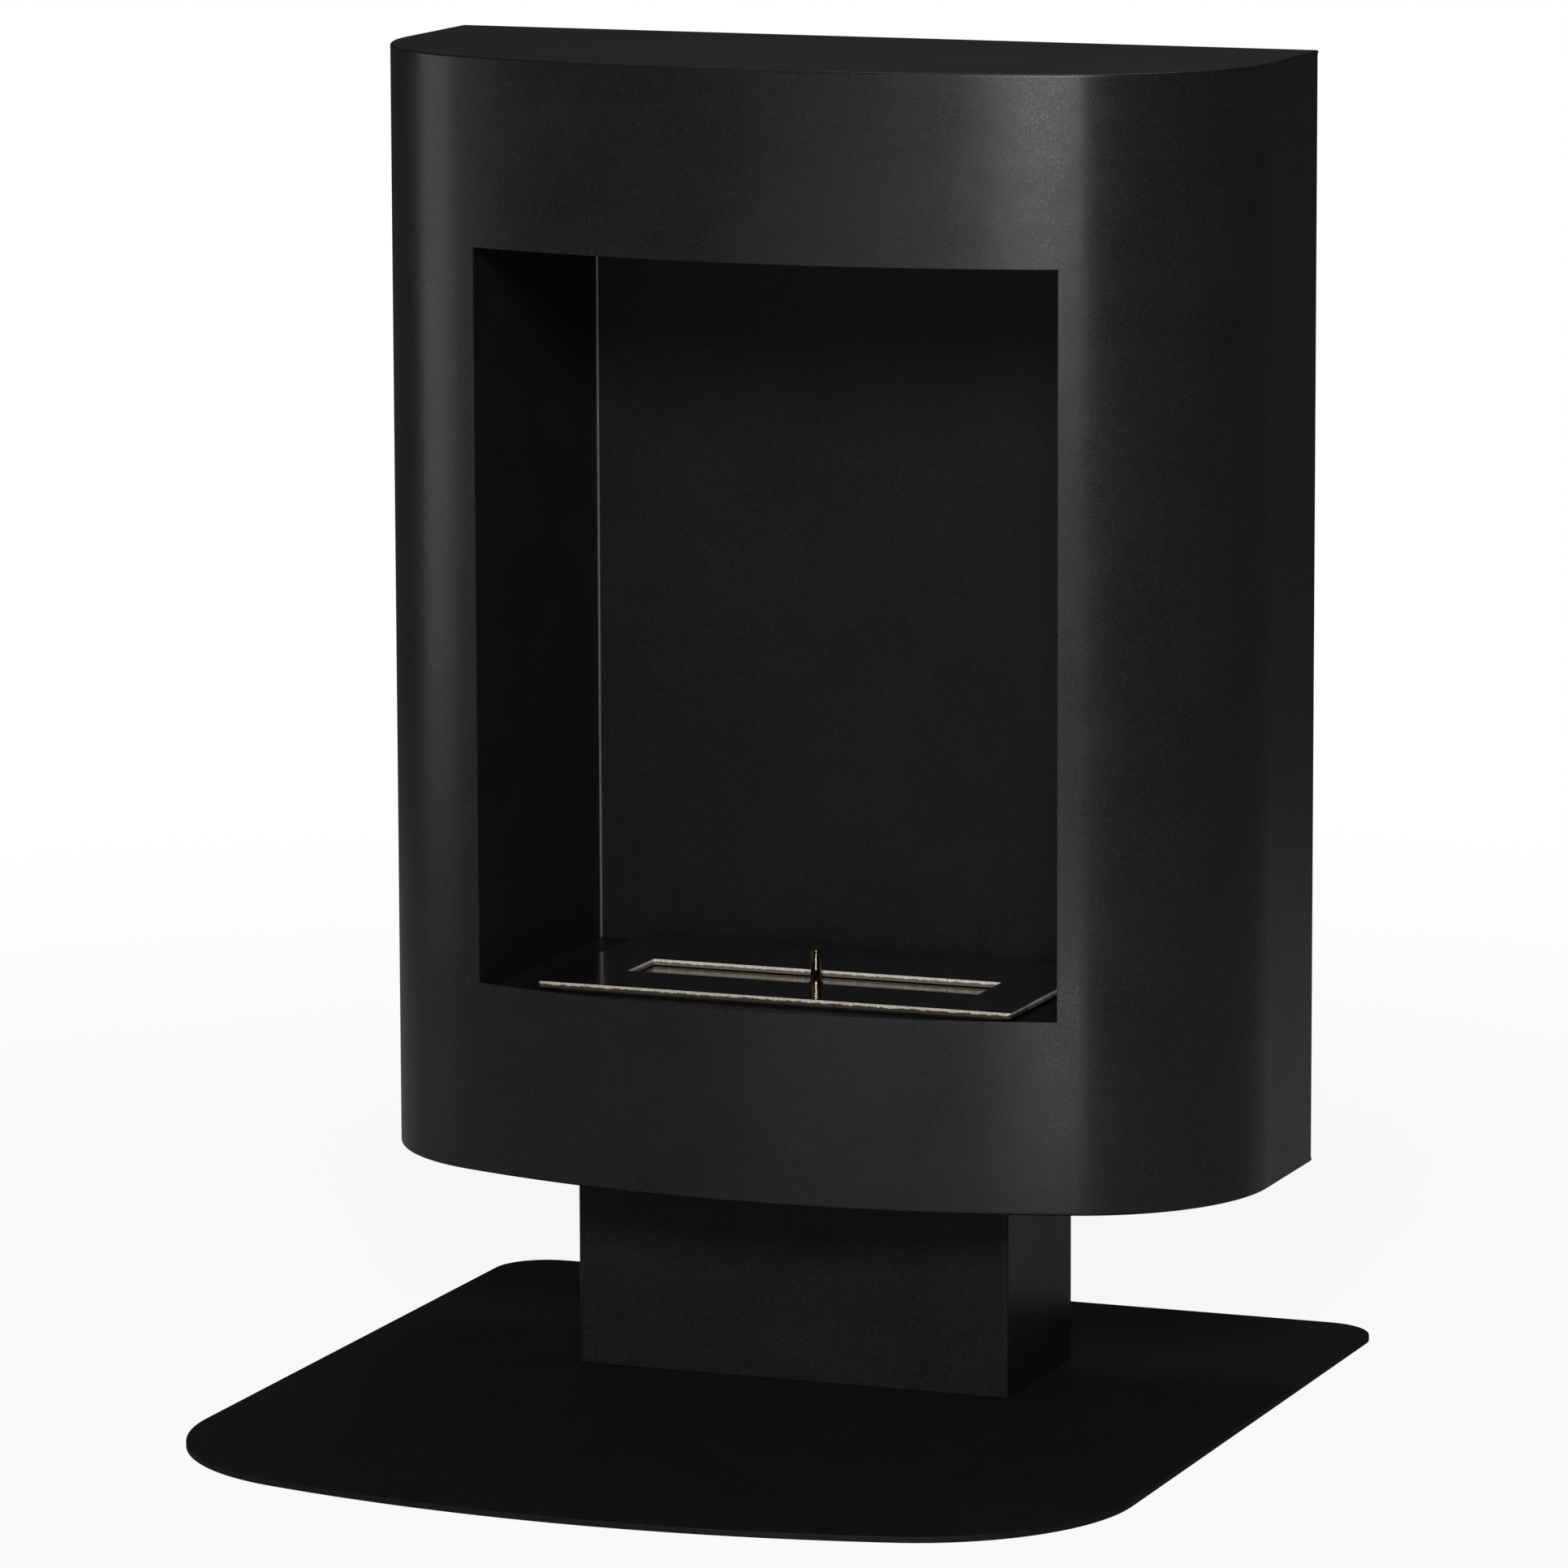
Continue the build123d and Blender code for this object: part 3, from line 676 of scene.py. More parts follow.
class Solid:
    """A mesh under construction."""

    def __init__(self) -> None:
        """Start empty."""
        self.mesh = bmesh.new()

    def loft(self, loops: Sequence[Sequence[Point3]], closed: bool = False) -> "Solid":
        """Skin a row of loops with the same number of points.

        Args:
            loops: the loops, in order.
            closed: True to skin the last loop to the first, False to cap both ends.

        Returns:
            The solid itself.
        """
        rows = [[self.mesh.verts.new(p) for p in loop] for loop in loops]
        count = len(rows[0])
        for low, high in zip(rows, rows[1:] + (rows[:1] if closed else [])):
            for i in range(count):
                j = (i + 1) % count
                self.mesh.faces.new((low[i], low[j], high[j], high[i]))
        if not closed:
            self.mesh.faces.new(list(reversed(rows[0])))
            self.mesh.faces.new(rows[-1])
        return self

    def stack(self, rows: Sequence[tuple[Outline, float, float]], closed: bool = False) -> "Solid":
        """Skin a row of outlines, each given with its distance inwards and its level."""
        return self.loft([[(x, y, z) for x, y in line(by)] for line, by, z in rows], closed)

    def prism(
        self, outline: Outline, low: float, high: float,
        round_low: float = 0.0, round_high: float = 0.0, steps: int = 4,
    ) -> "Solid":
        """Stand an outline up between two levels, with rounded rims.

        Args:
            outline: gives the outline moved in by a distance.
            low: lower level.
            high: upper level.
            round_low: radius of the lower rim.
            round_high: radius of the upper rim.
            steps: chords in each rim.

        Returns:
            The solid itself.
        """
        profile: list[Point2] = []
        for level, r, sign in ((low, round_low, -1), (high, round_high, 1)):
            if r <= 0:
                profile.append((0.0, level))
                continue
            turns = quarter(steps)
            rim = [(r - r * math.cos(t), level - sign * (r - r * math.sin(t))) for t in turns]
            profile += rim if sign > 0 else rim[::-1]
        return self.stack([(outline, by, z) for by, z in profile])

    def lathe(self, profile: Sequence[Point2], at: Point2 = (0.0, 0.0), steps: int = 40) -> "Solid":
        """Turn a profile of (radius, height) pairs, bottom first, round an upright axis."""
        turns = [2 * math.pi * i / steps for i in range(steps)]
        unit = [(math.cos(a), math.sin(a)) for a in turns]
        return self.loft([[(at[0] + r * c, at[1] + r * s, z) for c, s in unit] for r, z in profile])

    def box(self, low: Point3, high: Point3) -> "Solid":
        """Add a box between two corners."""
        size = [b - a for a, b in zip(low, high)]
        middle = [(a + b) / 2 for a, b in zip(low, high)]
        matrix = Matrix.Translation(middle) @ Matrix.Diagonal((*size, 1.0))
        bmesh.ops.create_cube(self.mesh, size=1.0, matrix=matrix)
        return self

    def thread(self, radius: float, pitch: float, low: float, high: float) -> "Solid":
        """Add an upright rod with a real helical thread and bevelled ends."""
        steps, rows_per_turn, bevel = 24, 6, 0.35
        depth = THREAD_DEPTH * pitch
        rows = max(int((high - low) / pitch * rows_per_turn), 4)
        loops = []
        for row in range(rows + 1):
            z = low + (high - low) * row / rows
            end = min(1.0, min(z - low, high - z) / pitch)
            loop = []
            for i in range(steps):
                turn = i / steps
                wave = abs(((z / pitch - turn) % 1.0) * 2 - 1)
                r = radius - depth * wave - (1 - end) * bevel * depth
                angle = 2 * math.pi * turn
                loop.append((r * math.cos(angle), r * math.sin(angle), z))
            loops.append(loop)
        return self.loft(loops)

    def moved(self, matrix: Matrix) -> "Solid":
        """Move everything built so far."""
        bmesh.ops.transform(self.mesh, matrix=matrix, verts=self.mesh.verts)
        return self

    def take(self, data: bpy.types.Mesh) -> "Solid":
        """Take in a mesh, which is used up."""
        self.mesh.from_mesh(data)
        bpy.data.meshes.remove(data)
        return self

    def add(self, other: "Solid") -> "Solid":
        """Take in another solid, which is used up."""
        data = bpy.data.meshes.new("joined")
        other.mesh.to_mesh(data)
        other.mesh.free()
        return self.take(data)

    def to_object(self, name: str) -> Piece:
        """The solid as a scene object, doubles merged and faces outwards."""
        bmesh.ops.remove_doubles(self.mesh, verts=self.mesh.verts, dist=DOUBLES)
        bmesh.ops.recalc_face_normals(self.mesh, faces=self.mesh.faces)
        data = bpy.data.meshes.new(name)
        self.mesh.to_mesh(data)
        self.mesh.free()
        made = bpy.data.objects.new(name, data)
        bpy.context.scene.collection.objects.link(made)
        return made

    def combine(self, other: "Solid", operation: str = "DIFFERENCE") -> "Solid":
        """Cut another solid out of this one, or keep only what they share.

        Args:
            other: the second solid, which is used up.
            operation: DIFFERENCE or INTERSECT.

        Returns:
            The solid itself.
        """
        body, tool = self.to_object("combine_body"), other.to_object("combine_tool")
        modifier = body.modifiers.new("cut", "BOOLEAN")
        modifier.operation = operation
        modifier.solver = "EXACT"
        modifier.object = tool
        data = baked(body)
        self.mesh = bmesh.new()
        discard(body)
        discard(tool)
        return self.take(data)


def baked(item: Piece) -> bpy.types.Mesh:
    """A plain mesh of an object with its modifiers applied."""
    graph = bpy.context.evaluated_depsgraph_get()
    return bpy.data.meshes.new_from_object(
        item.evaluated_get(graph), preserve_all_data_layers=True, depsgraph=graph
    )


def discard(item: Piece) -> None:
    """Remove an object and its mesh."""
    data = item.data
    bpy.data.objects.remove(item)
    bpy.data.meshes.remove(data)


def node_copy(node: str) -> Solid:
    """A merged copy of a CAD node's mesh, its flat faces joined."""
    solid = Solid()
    mesh = solid.mesh
    mesh.from_mesh(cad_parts[node].data)
    bmesh.ops.remove_doubles(mesh, verts=mesh.verts, dist=WELD)
    bmesh.ops.dissolve_limit(mesh, angle_limit=FLAT, verts=mesh.verts, edges=mesh.edges)
    return solid


def low_high(node: str) -> tuple[Vector, Vector]:
    """A CAD node's lowest and highest corners."""
    low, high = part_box(node)
    return Vector(low), Vector(high)


# --------------------------------------------------------------------------- geometry nodes


class Grower(Graph):
    """A Geometry Nodes tree with named inputs, and the plain meshes that it grows."""

    KINDS = {
        float: "NodeSocketFloat",
        int: "NodeSocketInt",
        tuple: "NodeSocketVector",
        Piece: "NodeSocketObject",
        Material: "NodeSocketMaterial",
    }

    def __init__(self, name: str, sizes: str, **others: type) -> None:
        """Start a tree, whose last input is the finish.

        Args:
            name: the tree's name.
            sizes: names of the inputs that are plain numbers, with spaces between.
            others: the Python type of each other input.
        """
        super().__init__(bpy.data.node_groups.new(name, "GeometryNodeTree"))
        face = self.tree.interface
        inputs = {**dict.fromkeys(sizes.split(), float), **others, "finish": Material}
        self.sockets = {
            key: face.new_socket(name=key, in_out="INPUT", socket_type=self.KINDS[kind])
            for key, kind in inputs.items()
        }
        face.new_socket(name="Geometry", in_out="OUTPUT", socket_type="NodeSocketGeometry")
        self.given = self.tree.nodes.new("NodeGroupInput")

    def value(self, name: str) -> Wire:
        """One of the tree's inputs."""
        return Wire(self, self.given.outputs[name])

    def grid(self, size: tuple[Wire | float, ...], count: tuple[Wire | int, ...]) -> Wire:
        """A flat grid about the origin, of a size and a number of points each way."""
        sizes = {"Size X": size[0], "Size Y": size[1]}
        counts = {"Vertices X": count[0], "Vertices Y": count[1]}
        return self.node("GeometryNodeMeshGrid", {}, {**sizes, **counts})

    def places(self) -> Wire:
        """The grid that the inputs for columns, rows and pitches give."""
        columns, rows = self.value("columns"), self.value("rows")
        size = (self.value("pitch_x") * (columns - 1), self.value("pitch_y") * (rows - 1))
        return self.grid(size, (columns, rows))

    def thickened(self, skin: Wire, offset: Mapping[str, object]) -> Wire:
        """A skin with its far side and the walls between, all welded."""
        values = {"Mesh": skin, "Individual": False, **offset}
        far = self.node("GeometryNodeExtrudeMesh", {"mode": "FACES"}, values)
        both = self.node("GeometryNodeJoinGeometry", {}, {"Geometry": [skin, far]})
        return self.node("GeometryNodeMergeByDistance", {}, {"Geometry": both, "Distance": WELD})

    def result(self, geometry: Wire) -> None:
        """End the tree: instances made real, material set."""
        real = self.node("GeometryNodeRealizeInstances", {}, {"Geometry": geometry})
        values = {"Geometry": real, "Material": self.value("finish")}
        dressed = self.node("GeometryNodeSetMaterial", {}, values)
        end = self.tree.nodes.new("NodeGroupOutput")
        self.tree.links.new(dressed.socket, end.inputs["Geometry"])

    def grow(self, **values: object) -> Solid:
        """Run the tree once.

        Args:
            values: a value for each input, by name.

        Returns:
            The result as a solid.
        """
        holder = bpy.data.objects.new("grown", bpy.data.meshes.new("grown"))
        bpy.context.scene.collection.objects.link(holder)
        modifier = holder.modifiers.new("grow", "NODES")
        modifier.node_group = self.tree
        for key, value in values.items():
            modifier[self.sockets[key].identifier] = value
        holder.update_tag()
        data = baked(holder)
        discard(holder)
        return Solid().take(data)


class RolledShell(Grower):
    """One sheet rolled to the D plan, its window cut out and its rear edges folded in.

    The sheet starts as a flat grid. Its columns count off the outline's stretches: window
    width, rest of the front arc, corner arc, straight side, rear bend and fold. Its rows
    count off the levels.
    """

    COLUMNS = (26, 2, 44, 3, 8, 1)
    LEVELS = ("bottom", "sill", "lintel", "top")

    def __init__(self) -> None:
        """Build the tree."""
        sizes = "width front rear corner_r front_r bend_r fold thickness window"
        super().__init__("rolled_shell", " ".join((sizes, *self.LEVELS)))
        columns, rows = sum(self.COLUMNS), len(self.LEVELS) - 1
        grid = self.grid((2.0 * columns, float(rows)), (2 * columns + 1, rows + 1))
        place = self.node("GeometryNodeInputPosition")
        across = self.node("ShaderNodeSeparateXYZ", {}, {"Vector": place}, "X")
        up = self.twin(across, "Y") + rows / 2
        out = across.larger(across * -1)
        in_window = (self.COLUMNS[0] - out).above(0) * (up - 1).above(0) * (2 - up).above(0)
        cut = {"Geometry": grid, "Selection": in_window}
        sheet = self.node("GeometryNodeDeleteGeometry", {"domain": "FACE"}, cut)
        x, y = self._outline(out)
        rolled = {"X": x * across.sign(), "Y": y, "Z": self._level(up)}
        place = self.node("ShaderNodeCombineXYZ", {}, rolled)
        skin = self.node("GeometryNodeSetPosition", {}, {"Geometry": sheet, "Position": place})
        self.result(self.thickened(skin, {"Offset Scale": self.value("thickness") * -1}))

    def _stretch(self, out: Wire, number: int) -> Wire:
        """How much of one stretch lies before a column, from 0 to 1."""
        before = sum(self.COLUMNS[:number])
        return ((out - before) / self.COLUMNS[number]).larger(0.0).smaller(1.0)

    def _outline(self, out: Wire) -> tuple[Wire, Wire]:
        """The outline's x and y at a column, as the sum of the stretches walked so far."""
        parts = [self._stretch(out, i) for i in range(len(self.COLUMNS))]
        front_r, corner_r, bend_r = map(self.value, ("front_r", "corner_r", "bend_r"))
        corner_x, reach = self.value("width") / 2 - corner_r, front_r - corner_r
        meet = (corner_x / reach).arcsin()
        edge = (self.value("window") / 2 / front_r).arcsin()
        turn = parts[0] * edge + parts[1] * (meet - edge)
        bent = meet + parts[2] * (math.pi / 2 - meet)
        rear_turn = math.pi / 2 + parts[4] * (math.pi / 2)
        centre = self.value("front") + front_r
        straight = self.value("rear") - bend_r - (centre - (reach**2 - corner_x**2) ** 0.5)
        x = turn.sin() * front_r + (bent.sin() - meet.sin()) * corner_r
        x = x + (rear_turn.sin() - 1) * bend_r
        x = x - parts[5] * (self.value("fold") + self.value("thickness") - bend_r)
        y = centre - turn.cos() * front_r - (bent.cos() - meet.cos()) * corner_r
        return x, y + parts[3] * straight - rear_turn.cos() * bend_r

    def _level(self, up: Wire) -> Wire:
        """The height of a row."""
        height = self.value(self.LEVELS[0])
        for i, (low, high) in enumerate(zip(self.LEVELS, self.LEVELS[1:])):
            part = (up - i).larger(0.0).smaller(1.0)
            height = height + part * (self.value(high) - self.value(low))
        return height


class PerforatedPlate(Grower):
    """A flat plate with rounded corners and a grid of rounded holes, from z = 0 up."""

    def __init__(self) -> None:
        """Build the tree."""
        sizes = "length width corner_r thickness hole_length hole_width hole_r pitch_x pitch_y"
        super().__init__("perforated_plate", sizes, columns=int, rows=int)
        rim = self._rounded("length", "width", "corner_r")
        hole = self._rounded("hole_length", "hole_width", "hole_r")
        spread = {"Points": self.places(), "Instance": hole}
        holes = self.node("GeometryNodeInstanceOnPoints", {}, spread)
        real = self.node("GeometryNodeRealizeInstances", {}, {"Geometry": holes})
        outline = self.node("GeometryNodeJoinGeometry", {}, {"Geometry": [rim, real]})
        face = self.node("GeometryNodeFillCurve", {"mode": "TRIANGLES"}, {"Curve": outline})
        upwards = {"Offset": (0.0, 0.0, 1.0), "Offset Scale": self.value("thickness")}
        self.result(self.thickened(face, upwards))

    def _rounded(self, length: str, width: str, radius: str) -> Wire:
        """A rounded rectangle between two of the tree's sizes."""
        size = {"Width": self.value(length), "Height": self.value(width)}
        curve = self.node("GeometryNodeCurvePrimitiveQuadrilateral", {"mode": "RECTANGLE"}, size)
        corners = {"Curve": curve, "Count": 8, "Radius": self.value(radius), "Limit Radius": True}
        return self.node("GeometryNodeFilletCurve", {"mode": "POLY"}, corners)


class FastenerGrid(Grower):
    """One fastener repeated on a grid, each turned at random about its own axis."""

    def __init__(self) -> None:
        """Build the tree."""
        counts = {"columns": int, "rows": int, "turn_seed": int}
        others = {"fastener": Piece, "centre": tuple, "tilt": tuple}
        super().__init__("fastener_grid", "pitch_x pitch_y", **counts, **others)
        tilt = self.node("FunctionNodeEulerToRotation", {}, {"Euler": self.value("tilt")})
        tilted = {"Translation": self.value("centre"), "Rotation": tilt}
        places = self.node("GeometryNodeTransform", {}, {"Geometry": self.places(), **tilted})
        span = {"Min": 0.0, "Max": 2 * math.pi, "Seed": self.value("turn_seed")}
        angle = self.node("FunctionNodeRandomValue", {"data_type": "FLOAT"}, span)
        upright = {"Axis": (0.0, 0.0, 1.0), "Angle": angle}
        spin = self.node("FunctionNodeAxisAngleToRotation", {}, upright)
        both = {"Rotation": tilt, "Rotate By": spin}
        turned = self.node("FunctionNodeRotateRotation", {"rotation_space": "LOCAL"}, both)
        fastener = {"Object": self.value("fastener")}
        shape = self.node("GeometryNodeObjectInfo", {}, fastener, "Geometry")
        spread = {"Points": places, "Instance": shape, "Rotation": turned}
        self.result(self.node("GeometryNodeInstanceOnPoints", {}, spread))


# --------------------------------------------------------------------------------- hardware


@dataclass
class Hardware:
    """The fasteners, each drawn once round its own axis and repeated by a grid.

    The heads' profiles are (radius, height) pairs in millimetres. A hexagon's ends are turned
    down to face times its flats' radius, over cut times what its corners stand out. The turning
    reaches past them by clear, and relief widens a nut's bore at its mouths.
    """

    grid: FastenerGrid = field(default_factory=FastenerGrid)
    bolt_r: float = 3.0 * MM
    bolt_pitch: float = 1.0 * MM
    bolt_length: float = 11.0 * MM
    flats: float = 10.0 * MM
    head: float = 5.0 * MM
    face: float = 0.97
    cut: float = 0.88
    clear: float = 1.01
    relief: float = 0.3 * MM
    sunk_head: tuple[Point2, ...] = ((5.5, 0.0), (5.7, 0.2), (3.0, 2.7))
    sunk_socket: tuple[Point2, ...] = ((2.3, -1.0), (2.3, 2.0))
    sunk_length: float = 12.7 * MM
    screw_r: float = 1.9 * MM
    screw_pitch: float = 1.3 * MM
    screw_head_r: float = 3.8 * MM
    screw_length: float = 8.0 * MM
    pan: tuple[Point2, ...] = (
        (3.75, 0.0), (3.8, 0.25), (3.78, 0.9), (3.5, 1.5), (2.9, 1.95), (1.8, 2.15), (0.6, 2.2)
    )
    recess: Point3 = (2.0 * MM, 0.42 * MM, 0.9 * MM)
    recess_top: float = 3.0 * MM
    recess_taper: Point2 = (0.5, 0.7)
    pin_nut_flats: float = 7.0 * MM

    def turned(self, profile: Sequence[Point2], steps: int = 40) -> Solid:
        """A solid turned to a profile in millimetres."""
        return Solid().lathe([(r * MM, z * MM) for r, z in profile], steps=steps)

    def hexagon(self, flats: float, low: float, high: float, both: bool = True) -> Solid:
        """A hexagon with its corners turned off at one or both ends."""
        corner = flats / math.sqrt(3)
        bar = Solid().lathe([(corner, low), (corner, high)], steps=6)
        face, clear = flats / 2 * self.face, corner * self.clear
        cut = self.cut * (corner - flats / 2)
        profile = [(face, low), (clear, low + cut)]
        profile += [(clear, high - cut), (face, high)] if both else [(clear, high)]
        return bar.combine(Solid().lathe(profile, steps=48), "INTERSECT")

    def nut(self, flats: float, height: float, bore: float) -> Solid:
        """A hexagon nut with a countersunk bore, standing on z = 0."""
        wide, relief = bore + self.relief, self.relief
        hole = [(wide, -relief), (bore, relief), (bore, height - relief), (wide, height + relief)]
        return self.hexagon(flats, 0.0, height).combine(Solid().lathe(hole))

    def bolt(self) -> Solid:
        """A hexagon bolt whose head hangs below z = 0."""
        head = self.hexagon(self.flats, -self.head, 0.0, both=False)
        shank = Solid().thread(self.bolt_r, self.bolt_pitch, -0.2 * MM, self.bolt_length)
        return head.add(shank)

    def countersunk(self) -> Solid:
        """A flat-head screw with a hexagon socket, its head's face at z = 0."""
        head = self.turned(self.sunk_head).combine(self.turned(self.sunk_socket, 6))
        shank = Solid().thread(self.bolt_r, self.bolt_pitch, 2.5 * MM, self.sunk_length)
        return head.add(shank)

    def pan_head(self) -> Solid:
        """A pan-head screw with a cross recess, its head standing on z = 0."""
        head = self.turned(self.pan, 48)
        wide, thin, deep = self.recess
        for turn in (0.0, math.pi / 2):
            loops = []
            for (x, y), z in ((self.recess_taper, deep), ((1, 1), self.recess_top)):
                corners = ((-x, -y), (x, -y), (x, y), (-x, y))
                loops.append([(px * wide, py * thin, z) for px, py in corners])
            head.combine(Solid().loft(loops).moved(Matrix.Rotation(turn, 4, "Z")))
        shank = Solid().thread(self.screw_r, self.screw_pitch, -self.screw_length, 0.1 * MM)
        return head.add(shank)

    def repeat(
        self,
        fastener: Solid,
        finish: Material,
        centre: Point3,
        pitch: Point2,
        seed: int,
        rows: int = 2,
        tilt: Point3 = (0.0, 0.0, 0.0),
    ) -> Solid:
        """Repeat a fastener in two columns.

        Args:
            fastener: the fastener's solid, which is used up.
            finish: the fasteners' material.
            centre: middle of the grid.
            pitch: distance between columns and between rows.
            seed: seed of the random turns.
            rows: how many rows.
            tilt: the grid's turn, as Euler angles.

        Returns:
            All of them as one solid.
        """
        template = fastener.to_object("fastener_template")
        grown = self.grid.grow(
            fastener=template, columns=2, rows=rows, pitch_x=pitch[0], pitch_y=pitch[1],
            centre=centre, tilt=tilt, turn_seed=seed, finish=finish,
        )
        discard(template)
        return grown


# ----------------------------------------------------------------------------- sub-assemblies


@dataclass
class Assembly(ABC):
    """Pieces that ride on one body."""

    BODY: ClassVar[Body] = Body.STAND
    finishes: Finishes

    @abstractmethod
    def build(self) -> list[Piece]:
        """Make every piece."""

    def dress(
        self,
        solid: Solid,
        name: str,
        node: str,
        slot: Slot,
        *coats: Material,
        bevel: float = 0.0,
        sides: int = 0,
        keep_flat: bool = True,
    ) -> Piece:
        """Shade, bevel and place a solid, and let it stand for its CAD node.

        Args:
            solid: the shape, which is used up.
            name: the piece's name.
            node: the CAD node that it replaces.
            slot: the record's material slot of its finish; not used.
            coats: its materials.
            bevel: width of the bevel along its sharp edges, 0 for none.
            sides: place among the coats of the one on upright faces.
            keep_flat: True to let large faces set the shading at their rims.

        Returns:
            The finished piece.
        """
        piece = solid.to_object(name)
        piece.data.shade_smooth()
        piece.data.set_sharp_from_angle(angle=SHARP)
        if bevel > 0:
            rim = piece.modifiers.new("rim", "BEVEL")
            rim.width = bevel
            rim.segments = 2
            rim.limit_method = "ANGLE"
            rim.angle_limit = BEVELLED
        if keep_flat:
            even = piece.modifiers.new("even", "WEIGHTED_NORMAL")
            even.keep_sharp = True
            even.weight = 100
        data, old = baked(piece), piece.data
        piece.modifiers.clear()
        piece.data = data
        data.name = name
        bpy.data.meshes.remove(old)
        data.materials.clear()
        for coat in coats:
            data.materials.append(coat)
        for face in data.polygons:
            face.material_index = sides if abs(face.normal.z) < UPRIGHT else 0
        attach(piece, self.BODY.value)
        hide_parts(node)
        log.info("%s rides on %s, %d faces", piece.name, self.BODY.value, len(data.polygons))
        return piece

    def eased_copy(self, node: str, name: str, slot: Slot, coat: Material, bevel: float) -> Piece:
        """A CAD node's own shape with its sharp edges eased."""
        return self.dress(node_copy(node), name, node, slot, coat, bevel=bevel)


@dataclass
class Stand(Assembly):
    """Base plate and pedestal with the screws and nuts between them and the body."""

    hardware: Hardware
    base_corner_r: float = 142 * MM
    base_front_r: float = 822 * MM
    base_rear_r: float = 37 * MM
    under_bevel: float = 0.2 * MM
    edge_bevel: float = 0.6 * MM
    sheet: float = 2.0 * MM
    bend_r: float = 2.5 * MM
    fold_r: float = 0.9 * MM
    flange: float = 24 * MM
    flange_r: float = 0.6 * MM
    bolt_x: float = 110 * MM
    bolt_y: float = 49 * MM
    bore: float = 3.1 * MM
    hole_r: float = 3.3 * MM
    sink_r: float = 6.05 * MM
    sink_depth: float = 2.7 * MM
    sunk: float = 0.3 * MM

    def build(self) -> list[Piece]:
        """Make every piece."""
        return [self.base_plate(), self.pedestal(), *self.fasteners()]

    def bolt_places(self) -> list[Point2]:
        """Places of the four bolts, seen from above."""
        middle = self.middle_y()
        sides, rows = (-self.bolt_x, self.bolt_x), (-self.bolt_y, self.bolt_y)
        return [(x, middle + y) for x in sides for y in rows]

    def middle_y(self) -> float:
        """The pedestal's middle."""
        low, high = low_high("pedestal")
        return (low.y + high.y) / 2

    def base_plate(self) -> Piece:
        """Thick flat plate, its upper rim eased, countersunk from below."""
        low, high = low_high("base_plate")
        radii = (self.base_corner_r, self.base_front_r, self.base_rear_r)
        plan = DPlan(high.x - low.x, low.y, high.y, *radii)
        rims = (self.under_bevel, self.edge_bevel)
        plate = Solid().prism(plan.outline, 0.0, high.z, *rims, steps=3)
        sink = [(self.sink_r, -0.05 * MM), (self.hole_r, self.sink_depth), (self.hole_r, 5 * MM)]
        for place in self.bolt_places():
            plate.combine(Solid().lathe(sink, place))
        coat = self.finishes.base
        return self.dress(plate, "base_plate_skin", "base_plate", Slot.BLACK_COAT, coat)

    def pedestal(self) -> Piece:
        """Folded sleeve with flanges turned inwards at both ends."""
        low, high = low_high("pedestal")
        length, width, y = high.x - low.x, high.y - low.y, self.middle_y()
        r, t, inward = self.fold_r, self.sheet, 2 * (self.sheet + self.flange)
        wall = rounded(length, width, self.bend_r, y)
        way_in = rounded(length - inward, width - inward, self.flange_r, y)
        rim = [(r - r * math.cos(a), r - r * math.sin(a)) for a in quarter(4)]
        rows = [(wall, by, low.z + down) for by, down in reversed(rim)]
        rows += [(wall, by, high.z - down) for by, down in rim]
        rows += [(way_in, 0.0, high.z), (way_in, 0.0, high.z - t), (wall, t, high.z - t)]
        rows += [(wall, t, low.z + t), (way_in, 0.0, low.z + t), (way_in, 0.0, low.z)]
        sleeve = Solid().stack(rows, closed=True)
        through = [(self.hole_r, -0.01), (self.hole_r, 0.2)]
        for place in self.bolt_places():
            sleeve.combine(Solid().lathe(through, place))
        coat = self.finishes.pedestal
        return self.dress(sleeve, "pedestal_sleeve", "pedestal", Slot.BLACK_COAT, coat)

    def fasteners(self) -> list[Piece]:
        """Screws and nuts at the base, bolts and nuts under the body."""
        made, hardware, zinc = [], self.hardware, self.finishes.zinc
        pitch = (2 * self.bolt_x, 2 * self.bolt_y)
        kinds = (
            ("base_screws", hardware.countersunk(), self.sunk),
            ("base_nuts", self.nut(), low_high("base_nuts")[0].z),
            ("body_bolts", hardware.bolt(), low_high("body_bolts")[0].z + hardware.head),
            ("body_nuts", self.nut(), low_high("body_nuts")[0].z),
        )
        for seed, (node, shape, z) in enumerate(kinds):
            four = hardware.repeat(shape, zinc, (0.0, self.middle_y(), z), pitch, seed)
            made.append(self.dress(four, node + "_set", node, Slot.ZINC, zinc))
        return made

    def nut(self) -> Solid:
        """A nut that fits the bolts."""
        return self.hardware.nut(self.hardware.flats, self.hardware.head, self.bore)


